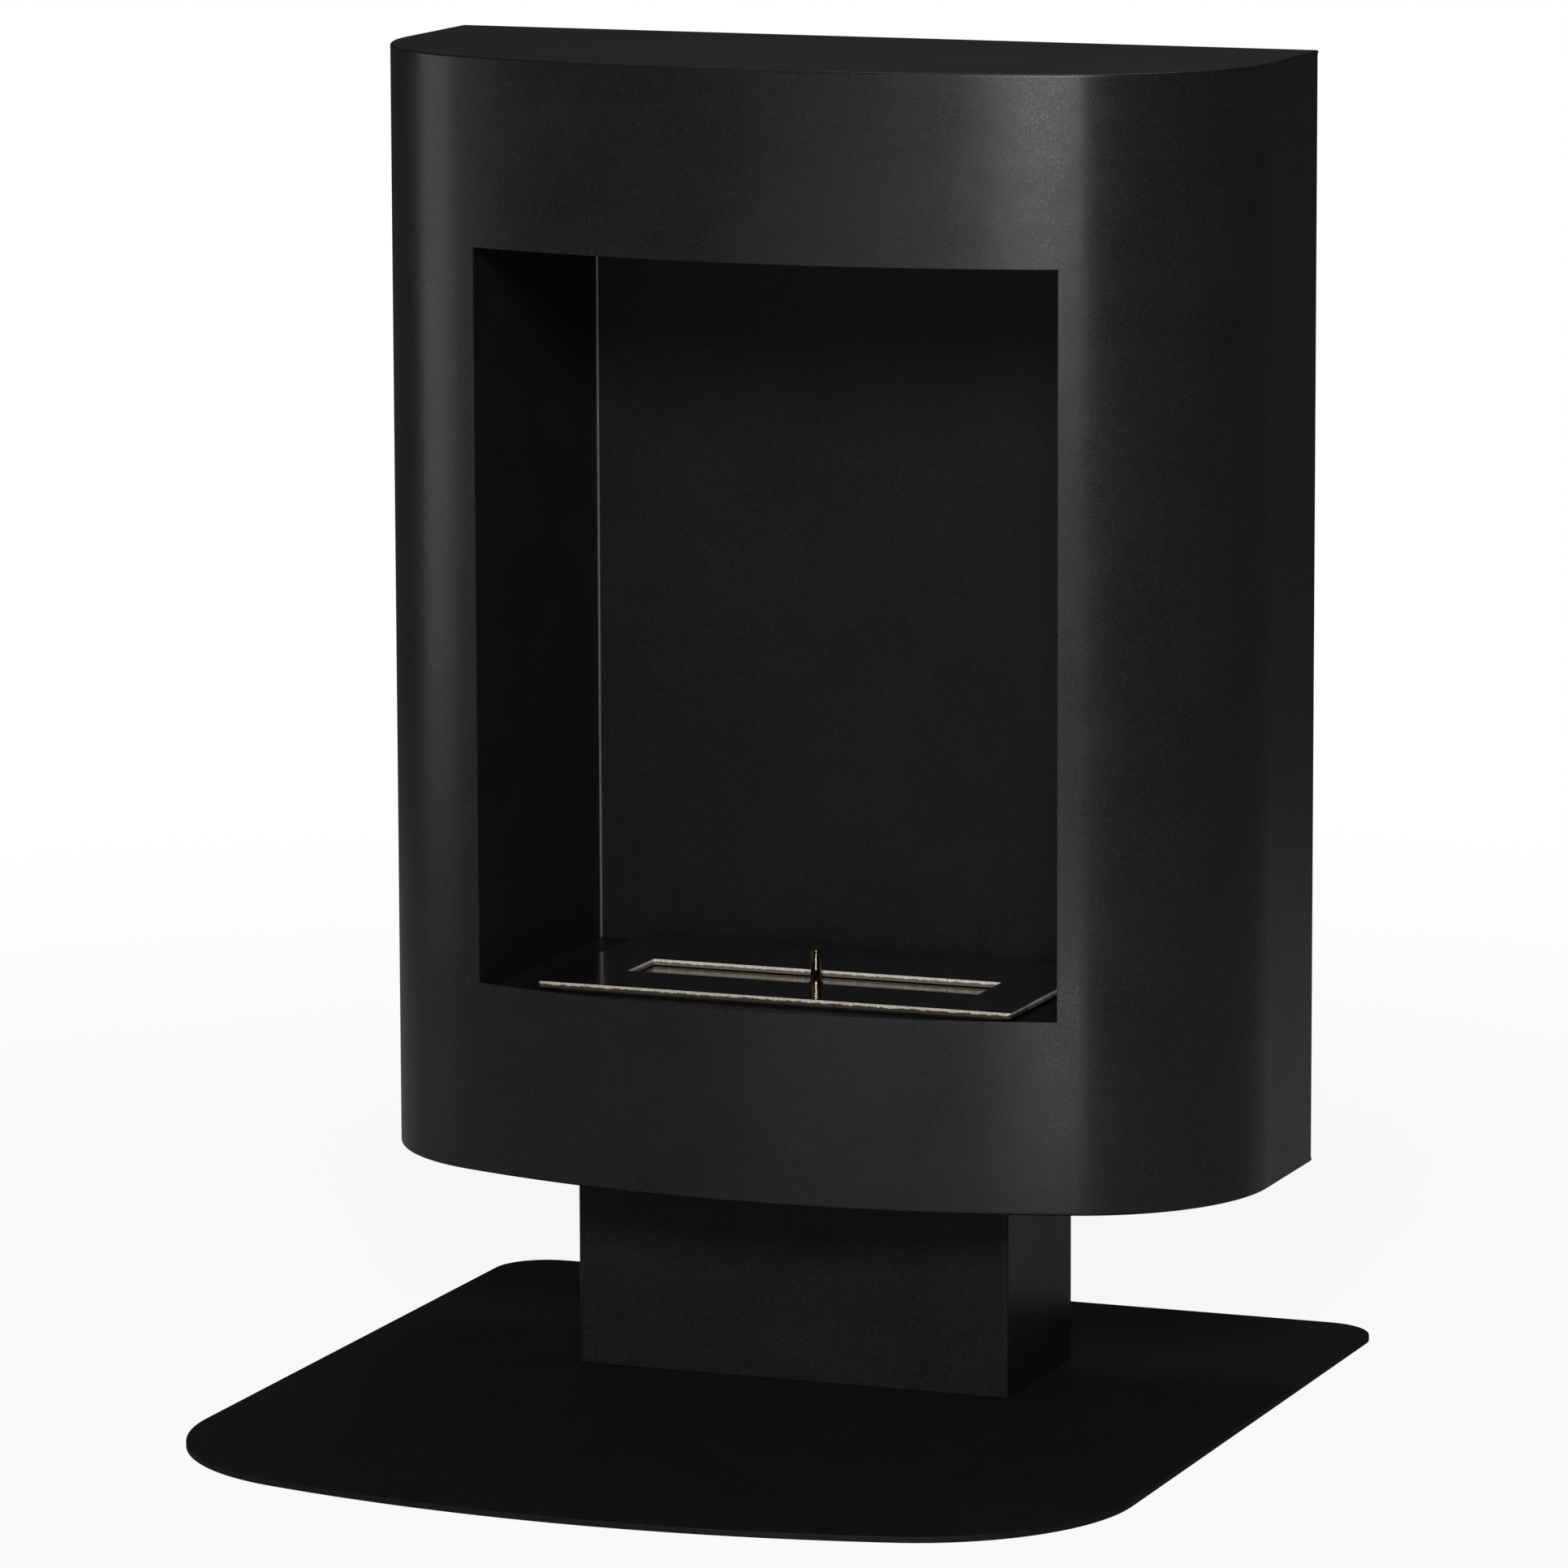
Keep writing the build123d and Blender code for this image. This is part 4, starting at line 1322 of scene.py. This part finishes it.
@dataclass
class Casing(Assembly):
    """The body: rolled shell, lid, floor and back panel."""

    hardware: Hardware
    plates: PerforatedPlate
    corner_r: float = 130 * MM
    front_r: float = 657 * MM
    sheet: float = 1.5 * MM
    bend_r: float = 2.5 * MM
    fold: float = 22 * MM
    rim: float = 1.3 * MM
    sill: float = 264 * MM
    lintel: float = 746 * MM
    window: float = 400 * MM
    back_corner_r: float = 0.8 * MM
    vent: Point2 = (110 * MM, 7 * MM)
    vents: tuple[int, int] = (3, 2)
    vent_pitch: float = 150 * MM
    vent_end: float = 60 * MM
    screw_rows: int = 3
    screw_seed: int = 11

    def build(self) -> list[Piece]:
        """Make every piece."""
        return [
            self.shell(),
            self.end_panel("top_panel", "lid", 0.0, self.rim),
            self.end_panel("bottom_panel", "body_floor", self.rim, 0.0),
            self.back_panel(),
            self.back_screws(),
        ]

    def plan(self) -> DPlan:
        """The body's own plan."""
        low, high = low_high("top_panel")
        return DPlan(high.x - low.x, low.y, high.y, self.corner_r, self.front_r, self.bend_r)

    def shell(self) -> Piece:
        """Rolled front and sides with the window."""
        low, high = low_high("outer_shell")
        coat = self.finishes.casing
        grown = RolledShell().grow(
            width=high.x - low.x, front=low.y, rear=high.y, corner_r=self.corner_r,
            front_r=self.front_r, bend_r=self.bend_r, fold=self.fold, thickness=self.sheet,
            window=self.window, bottom=low.z, sill=self.sill, lintel=self.lintel, top=high.z,
            finish=coat,
        )
        return self.dress(grown, "rolled_shell_skin", "outer_shell", Slot.BLACK_COAT, coat)

    def end_panel(self, node: str, name: str, round_low: float, round_high: float) -> Piece:
        """Lid or floor of the body, its outer rim ground round."""
        low, high = low_high(node)
        rims = (round_low, round_high)
        plate = Solid().prism(self.plan().outline, low.z, high.z, *rims, steps=5)
        return self.dress(plate, name, node, Slot.BLACK_COAT, self.finishes.casing)

    def back_panel(self) -> Piece:
        """Flat cover with its vent slots."""
        low, high = low_high("back_panel")
        height, coat = high.z - low.z, self.finishes.casing
        plate = self.plates.grow(
            length=high.x - low.x, width=height, thickness=high.y - low.y,
            corner_r=self.back_corner_r, hole_length=self.vent[0], hole_width=self.vent[1],
            hole_r=self.vent[1] / 2 - 0.01 * MM, columns=self.vents[0], rows=self.vents[1],
            pitch_x=self.vent_pitch, pitch_y=height - 2 * self.vent_end, finish=coat,
        )
        upright = Matrix.Rotation(math.pi / 2, 4, "X")
        middle = Matrix.Translation((0.0, high.y, (low.z + high.z) / 2))
        plate.moved(middle @ upright)
        return self.dress(plate, "vented_back", "back_panel", Slot.BLACK_COAT, coat)

    def back_screws(self) -> Piece:
        """Pan-head screws down both sides of the back panel."""
        low, high = low_high("back_screws")
        r, oxide = self.hardware.screw_head_r, self.finishes.oxide
        seat = low_high("back_panel")[1].y
        screws = self.hardware.repeat(
            self.hardware.pan_head(),
            oxide,
            (0.0, seat, (low.z + high.z) / 2),
            (high.x - low.x - 2 * r, (high.z - low.z - 2 * r) / 2),
            self.screw_seed,
            self.screw_rows,
            tilt=(-math.pi / 2, 0.0, 0.0),
        )
        return self.dress(screws, "pan_head_screws", "back_screws", Slot.BLACK_SCREW, oxide)


@dataclass
class Firebox(Assembly):
    """Liner, floor, ceiling and the supports under the floor.

    The liner's rear bends carry a painted highlight: their faces turned between two angles,
    in degrees from facing forwards, take a paler, glossier coat.
    """

    casing: Casing
    sheet: float = 1.2 * MM
    bend_r: float = 2.5 * MM
    flange: float = 20 * MM
    shell_inset: float = 1.6 * MM
    play: float = 0.1 * MM
    painted_highlight_turns: Point2 = (10.0, 45.0)
    pan_bevel: float = 0.25 * MM
    support_bevel: float = 0.4 * MM

    def build(self) -> list[Piece]:
        """Make every piece."""
        made = [self.liner()]
        for pair, bevel in (
            (("firebox_floor", "firebox_ceiling"), self.pan_bevel),
            (("floor_support_left", "floor_support_right"), self.support_bevel),
        ):
            for node in pair:
                coated = (Slot.BLACK_COAT, self.finishes.firebox)
                made.append(self.eased_copy(node, node + "_sheet", *coated, bevel))
        return made

    def liner(self) -> Piece:
        """One sheet bent to both side walls and the back, flanged behind the shell."""
        low, high = low_high("firebox_liner")
        t, r = self.sheet, self.bend_r
        inner_x = low_high("firebox_floor")[1].x + self.play
        inner_y = high.y - t
        tip = inner_x + self.flange
        bend = (inner_x - r, inner_y - r)
        near, far = self._band(self.shell_inset), self._band(self.shell_inset + t)
        steps = [inner_x + (tip - inner_x) * i / 8 for i in range(9)]
        right = arc(bend, r, 180, 90, 8)
        right += [(x, near(x)) for x in steps]
        right += [(x, far(x)) for x in reversed(steps[1:])]
        right += [(inner_x + t, far(inner_x + t))]
        right += arc(bend, r + t, 90, 180, 8)
        left = [(-x, y) for x, y in reversed(right)]
        sheet = Solid().prism(lambda by: [*right, *left], low.z, high.z)
        coats = (self.finishes.firebox, self.finishes.bend)
        piece = self.dress(sheet, "bent_liner", "firebox_liner", Slot.BLACK_COAT, *coats)
        # faces turned between the two angles take the paler coat: a painted highlight along the
        # bends
        low_turn, high_turn = (math.tan(math.radians(turn)) for turn in self.painted_highlight_turns)
        for face in piece.data.polygons:
            across, ahead = abs(face.normal.x), -face.normal.y
            turned = low_turn * ahead < across < high_turn * ahead
            face.material_index = int(turned and face.center.y > inner_y - r)
        return piece

    def _band(self, inset: float) -> Callable[[float], float]:
        """The front of the body's plan, moved in, as y at a place across."""
        plan = self.casing.plan().inset(inset)
        corner_x, corner_y = plan.corner
        meet_x = plan.front_r * math.sin(math.radians(plan.meet))

        def front_at(x: float) -> float:
            """The plan's y at x."""
            if x <= meet_x:
                return plan.front + plan.front_r - math.sqrt(plan.front_r**2 - x**2)
            return corner_y - math.sqrt(plan.corner_r**2 - (x - corner_x) ** 2)

        return front_at


@dataclass
class Burner(Assembly):
    """The lift-out burner: top plate, tray, seal, wool, its retainer and the rails.

    The wool's hollows and tufts have a depth each, and a scale in grains to the metre.
    """

    BODY: ClassVar[Body] = Body.BURNER
    plates: PerforatedPlate
    plate_corner_r: float = 3.0 * MM
    plate_bevel: float = 0.22 * MM
    slot: Point2 = (244 * MM, 45 * MM)
    slot_forward: float = 11 * MM
    slot_corner_r: float = 1.0 * MM
    flange_inset: float = 6.0 * MM
    tray_margins: Point2 = (14 * MM, 13 * MM)
    tray_sheet: float = 1.5 * MM
    tray_corner_r: float = 9.0 * MM
    tray_foot_r: float = 5.0 * MM
    seal_bevel: float = 0.3 * MM
    wool_cell: float = 4 * MM
    wool_corner_r: float = 6.5 * MM
    hollow: float = 1.3 * MM
    hollows: float = 70.0
    tuft: float = 0.5 * MM
    tufts: float = 420.0
    retainer_sheet: float = 0.8 * MM
    retainer_play: float = 0.1 * MM
    hole: Point2 = (26 * MM, 16 * MM)
    hole_r: float = 2.0 * MM
    hole_pitch: Point2 = (34 * MM, 28 * MM)
    holes: tuple[int, int] = (8, 4)
    rail_bevel: float = 0.15 * MM

    def build(self) -> list[Piece]:
        """Make every piece."""
        seal, mill = (Slot.SEAL, self.finishes.seal), (Slot.MILL, self.finishes.mill)
        return [
            self.top_plate(),
            self.tray(),
            self.eased_copy("burner_gasket", "fibre_ring", *seal, self.seal_bevel),
            self.wool(),
            self.retainer(),
            self.eased_copy("slider_rail_left", "folded_rail_left", *mill, self.rail_bevel),
            self.eased_copy("slider_rail_right", "folded_rail_right", *mill, self.rail_bevel),
        ]

    @property
    def middle(self) -> float:
        """The burner's middle from front to back."""
        low, high = low_high("burner_top_plate")
        return (low.y + high.y) / 2

    def top_plate(self) -> Piece:
        """Polished plate, its rim and slot laser-cut."""
        low, high = low_high("burner_top_plate")
        rim = rounded(high.x - low.x, high.y - low.y, self.plate_corner_r, self.middle)
        plate = Solid().prism(rim, low.z, high.z)
        slot = rounded(*self.slot, self.slot_corner_r, self.middle - self.slot_forward)
        plate.combine(Solid().prism(slot, low.z - 1 * MM, high.z + 1 * MM))
        return self.dress(
            plate,
            "polished_top_plate",
            "burner_top_plate",
            Slot.POLISHED,
            self.finishes.polished,
            self.finishes.cut_edge,
            bevel=self.plate_bevel,
            sides=1,
        )

    def tray(self) -> Piece:
        """Drawn tray with a rounded foot and a flange under the top plate."""
        low, high = low_high("burner_tray")
        plate_low, plate_high = low_high("burner_top_plate")
        length, width = plate_high.x - plate_low.x, plate_high.y - plate_low.y
        in_x, in_y = self.tray_margins
        corner = (self.tray_corner_r, self.middle)
        rim = rounded(length - 2 * self.flange_inset, width - 2 * self.flange_inset, *corner)
        well = rounded(length - 2 * in_x, width - 2 * in_y, *corner)
        t, foot = self.tray_sheet, self.tray_foot_r
        bend, under = foot - t, high.z - t
        rows = [
            (well, foot * (1 - math.sin(a)), low.z + foot * (1 - math.cos(a))) for a in quarter(5)
        ]
        rows += [(well, 0.0, under), (rim, 0.0, under), (rim, 0.0, high.z), (well, t, high.z)]
        rows += [
            (well, t + bend * (1 - math.sin(a)), low.z + t + bend * (1 - math.cos(a)))
            for a in reversed(quarter(5))
        ]
        tray = Solid().stack(rows)
        return self.dress(tray, "drawn_tray", "burner_tray", Slot.MILL, self.finishes.mill)

    def wool(self) -> Piece:
        """Packed ceramic wool: a soft-cornered block with a matted, uneven surface."""
        low, high = low_high("wool_pad")
        solid = Solid().box(tuple(low), tuple(high))
        size = high - low
        for axis, length in enumerate(size):
            along = [
                e for e in solid.mesh.edges
                if abs(abs((e.verts[0].co - e.verts[1].co)[axis]) - length) < WELD
            ]
            cuts = max(int(length / self.wool_cell), 2)
            bmesh.ops.subdivide_edges(solid.mesh, edges=along, cuts=cuts, use_grid_fill=True)
        centre, corner = (low + high) / 2, self.wool_corner_r
        inner = size / 2 - Vector((corner,) * 3)
        for vert in solid.mesh.verts:
            p = vert.co - centre
            core = Vector([max(-inner[i], min(inner[i], p[i])) for i in range(3)])
            out = (p - core).normalized()
            dent = 0.5 + 0.5 * noise.fractal(vert.co * self.hollows, 1.0, 2.0, 4)
            tuft = 0.5 + 0.5 * noise.noise(vert.co * self.tufts)
            vert.co = centre + core + out * (corner - self.hollow * dent - self.tuft * tuft)
        coat = self.finishes.wool
        names = ("ceramic_wool_block", "wool_pad")
        piece = self.dress(solid, *names, Slot.WOOL, coat, keep_flat=False)
        return piece

    def retainer(self) -> Piece:
        """Perforated sheet with a raised lip that holds the wool down."""
        low, high = low_high("wool_retainer")
        length, width = high.x - low.x, high.y - low.y
        t, mill = self.retainer_sheet, self.finishes.mill
        radius = self.tray_corner_r - self.tray_sheet - self.retainer_play
        sheet = self.plates.grow(
            length=length - 0.02 * MM, width=width - 0.02 * MM, thickness=t, corner_r=radius,
            hole_length=self.hole[0], hole_width=self.hole[1], hole_r=self.hole_r,
            columns=self.holes[0], rows=self.holes[1], pitch_x=self.hole_pitch[0],
            pitch_y=self.hole_pitch[1], finish=mill,
        )
        sheet.moved(Matrix.Translation((0.0, self.middle, low.z)))
        lip = rounded(length, width, radius, self.middle)
        rows = ((lip, 0.0, low.z), (lip, 0.0, high.z), (lip, t, high.z), (lip, t, low.z))
        sheet.add(Solid().stack(rows, closed=True))
        return self.dress(sheet, "perforated_retainer", "wool_retainer", Slot.MILL, mill)


@dataclass
class Slider(Assembly):
    """The plate that closes the slot, with its pin and nut.

    The pin's profiles are (radius, height) steps in millimetres: collar and neck from the
    plate, on the collar's and the pin's radius, and the tip from the top.
    """

    BODY: ClassVar[Body] = Body.SLIDER
    hardware: Hardware
    plate_bevel: float = 0.2 * MM
    pin_r: float = 3.6 * MM
    collar_r: float = 5.0 * MM
    stud_r: float = 2.0 * MM
    stud_pitch: float = 0.7 * MM
    bore: float = 2.06 * MM
    collar: tuple[Point2, ...] = ((-0.1, 0.0), (0.0, 0.12), (-0.12, 0.4))
    neck: tuple[Point2, ...] = ((0.55, 0.66), (0.1, 0.8), (0.0, 1.1))
    tip: tuple[Point2, ...] = ((0.0, -0.9), (-0.1, -0.45), (-0.35, -0.15), (-0.8, 0.0))

    def build(self) -> list[Piece]:
        """Make every piece."""
        polished = (Slot.POLISHED, self.finishes.slider)
        plate = self.eased_copy("slider_plate", "polished_slider", *polished, self.plate_bevel)
        return [plate, self.pin(), self.nut()]

    def pin(self) -> Piece:
        """Turned pin: rounded tip, flared collar and threaded stud."""
        low, high = low_high("slider_pin")
        foot = low_high("slider_plate")[1].z
        at = (0.0, (low.y + high.y) / 2)
        stretches = (
            (self.collar_r, foot, self.collar),
            (self.pin_r, foot, self.neck),
            (self.pin_r, high.z, self.tip),
        )
        profile = [(r + by * MM, z + up * MM) for r, z, steps in stretches for by, up in steps]
        pin = Solid().lathe(profile, at, steps=56)
        stud = Solid().thread(self.stud_r, self.stud_pitch, low.z, foot + 0.1 * MM)
        pin.add(stud.moved(Matrix.Translation((*at, 0.0))))
        return self.dress(pin, "turned_pin", "slider_pin", Slot.PIN, self.finishes.pin)

    def nut(self) -> Piece:
        """Nut under the slider."""
        low, high = low_high("slider_pin_nut")
        nut = self.hardware.nut(self.hardware.pin_nut_flats, high.z - low.z, self.bore)
        nut.moved(Matrix.Translation((0.0, (low.y + high.y) / 2, low.z)))
        return self.dress(nut, "pin_nut", "slider_pin_nut", Slot.ZINC, self.finishes.zinc)


# ------------------------------------------------------------------------------------ studio


@dataclass(frozen=True)
class Softbox:
    """A soft studio lamp, placed round the object."""

    name: str
    azimuth: float
    distance: float
    height: float
    size: Point2
    power: float
    aim: float

    def place(self) -> None:
        """Make the lamp and point it at the object's axis."""
        lamp = bpy.data.lights.new(self.name, "AREA")
        lamp.shape = "RECTANGLE"
        lamp.size, lamp.size_y = self.size
        lamp.energy = self.power
        made = bpy.data.objects.new(self.name, lamp)
        turn = math.radians(self.azimuth)
        spot = Vector((math.sin(turn), -math.cos(turn), 0.0)) * self.distance
        made.location = spot + Vector((0.0, 0.0, self.height))
        look = Vector((0.0, 0.0, self.aim)) - made.location
        made.rotation_euler = look.to_track_quat("-Z", "Y").to_euler()
        bpy.context.scene.collection.objects.link(made)


@dataclass
class Studio:
    """Pale floor, white surround, soft lamps and the photograph's camera.

    Away from the object the floor turns whiter where it is seen and darker where it is
    mirrored, each between two distances.
    """

    place: Point3 = (2.1279, -5.4479, 1.3862)
    turn: Point3 = (80.5054, 0.1919, 21.1468)
    frame_width: float = 36.0
    lens: float = 212.17
    far_clip: float = 100.0
    floor_size: float = 9.0
    floor_tone: Point3 = (0.8, 0.8, 0.8)
    floor_tooth: float = 900.0
    ambient: float = 0.07
    surround: float = 0.034
    floor_sheen: float = 0.19
    floor_far: float = 0.05
    floor_glow: float = 0.91
    glow_fade: Point2 = (0.7, 2.4)
    sheen_fade: Point2 = (1.2, 3.0)
    lamps: tuple[Softbox, ...] = (
        Softbox("key_softbox", 20.5, 3.2, 2.15, (0.8, 0.9), 80.0, 0.6),
        Softbox("low_strip", 17.4, 3.2, 0.8, (0.14, 0.6), 14.0, 0.7),
        Softbox("wide_strip", -6.0, 3.2, 0.3, (1.5, 0.3), 2.0, 0.4),
        Softbox("left_softbox", -78.0, 2.8, 0.58, (1.4, 1.15), 6.8, 0.4),
        Softbox("floor_board", 26.0, 1.1, 0.05, (0.2, 0.08), 0.45, 0.2),
        Softbox("wide_board", -8.0, 1.3, 0.05, (0.6, 0.08), 0.2, 0.2),
        Softbox("rear_softbox", 190.0, 1.8, 3.2, (1.2, 1.2), 10.0, 0.5),
    )

    def build(self) -> None:
        """Set up floor, surround, lamps and camera."""
        scene = bpy.context.scene
        scene.view_settings.view_transform = "Standard"
        self._floor()
        self._world()
        for lamp in self.lamps:
            lamp.place()
        data = bpy.data.cameras.new("photo_camera")
        data.sensor_width, data.lens = self.frame_width, self.lens
        data.clip_end = self.far_clip
        camera = bpy.data.objects.new("photo_camera", data)
        camera.location = self.place
        camera.rotation_euler = [math.radians(angle) for angle in self.turn]
        scene.collection.objects.link(camera)
        scene.camera = camera
        log.info("camera at %s, %.1f mm", tuple(self.place), self.lens)

    def _floor(self) -> None:
        """A large pale floor that keeps the object's shadow."""
        solid = Solid()
        bmesh.ops.create_grid(solid.mesh, x_segments=1, y_segments=1, size=self.floor_size)
        floor = solid.to_object("floor")
        floor.data.materials.append(self._floor_material())

    @staticmethod
    def _rays(graph: Graph) -> tuple[Wire, Wire]:
        """Masks of what the camera sees directly, and of what mirrors and glass show."""
        seen = graph.node("ShaderNodeLightPath", output="Is Camera Ray")
        mirrored = graph.twin(seen, "Is Glossy Ray").larger(graph.twin(seen, "Is Transmission Ray"))
        return seen, mirrored

    def _floor_material(self) -> Material:
        """Pale paper, lifted to white where it is seen directly, dimmed where mirrored."""
        s = Shader("pale_floor")
        tooth = s.noise(self.floor_tooth, 2.0)
        s.set("Base Color", (*self.floor_tone, 1.0))
        s.set("Roughness", 0.9)
        s.set("Specular IOR Level", 0.1)
        s.bump((tooth, 0.02 * MM, 0.2))
        away = s.node("ShaderNodeVectorMath", {"operation": "LENGTH"}, {0: s.place}, "Value")
        glow = self.floor_glow + away.between(*self.glow_fade) * (1 - self.floor_glow)
        seen, mirrored = self._rays(s)
        white, near, dim = (
            s.node("ShaderNodeEmission", {}, {"Color": WHITE, "Strength": level})
            for level in (1.0, self.floor_sheen, self.floor_far)
        )
        fade = {0: away.between(*self.sheen_fade), 1: near, 2: dim}
        sheen = s.node("ShaderNodeMixShader", {}, fade)
        paper = Wire(s, s.surface.outputs["BSDF"])
        direct = s.node("ShaderNodeMixShader", {}, {0: seen * glow, 1: paper, 2: white})
        both = s.node("ShaderNodeMixShader", {}, {0: mirrored, 1: direct, 2: sheen})
        end = s.tree.nodes["Material Output"]
        s.tree.links.new(both.socket, end.inputs["Surface"])
        return s.material

    def _world(self) -> None:
        """Even fill for the object, white where the surround is seen."""
        world = bpy.data.worlds.new("studio_surround")
        world.use_nodes = True
        bpy.context.scene.world = world
        seen, mirrored = self._rays(Graph(world.node_tree))
        level = self.ambient + seen * (1 - self.ambient) + mirrored * (self.surround - self.ambient)
        back = world.node_tree.nodes["Background"]
        back.inputs["Color"].default_value = WHITE
        world.node_tree.links.new(level.socket, back.inputs["Strength"])


def main() -> None:
    """Set up the studio, then build and dress each sub-assembly."""
    logging.basicConfig(level=logging.INFO, format="%(name)s: %(message)s")
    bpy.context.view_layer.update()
    Studio().build()
    finishes, hardware, plates = Finishes(), Hardware(), PerforatedPlate()
    casing = Casing(finishes, hardware, plates)
    assemblies: tuple[Assembly, ...] = (
        Stand(finishes, hardware),
        casing,
        Firebox(finishes, casing),
        Burner(finishes, plates),
        Slider(finishes, hardware),
    )
    for assembly in assemblies:
        made = assembly.build()
        log.info("%s: %d pieces", type(assembly).__name__, len(made))


if __name__ == "__main__":
    main()
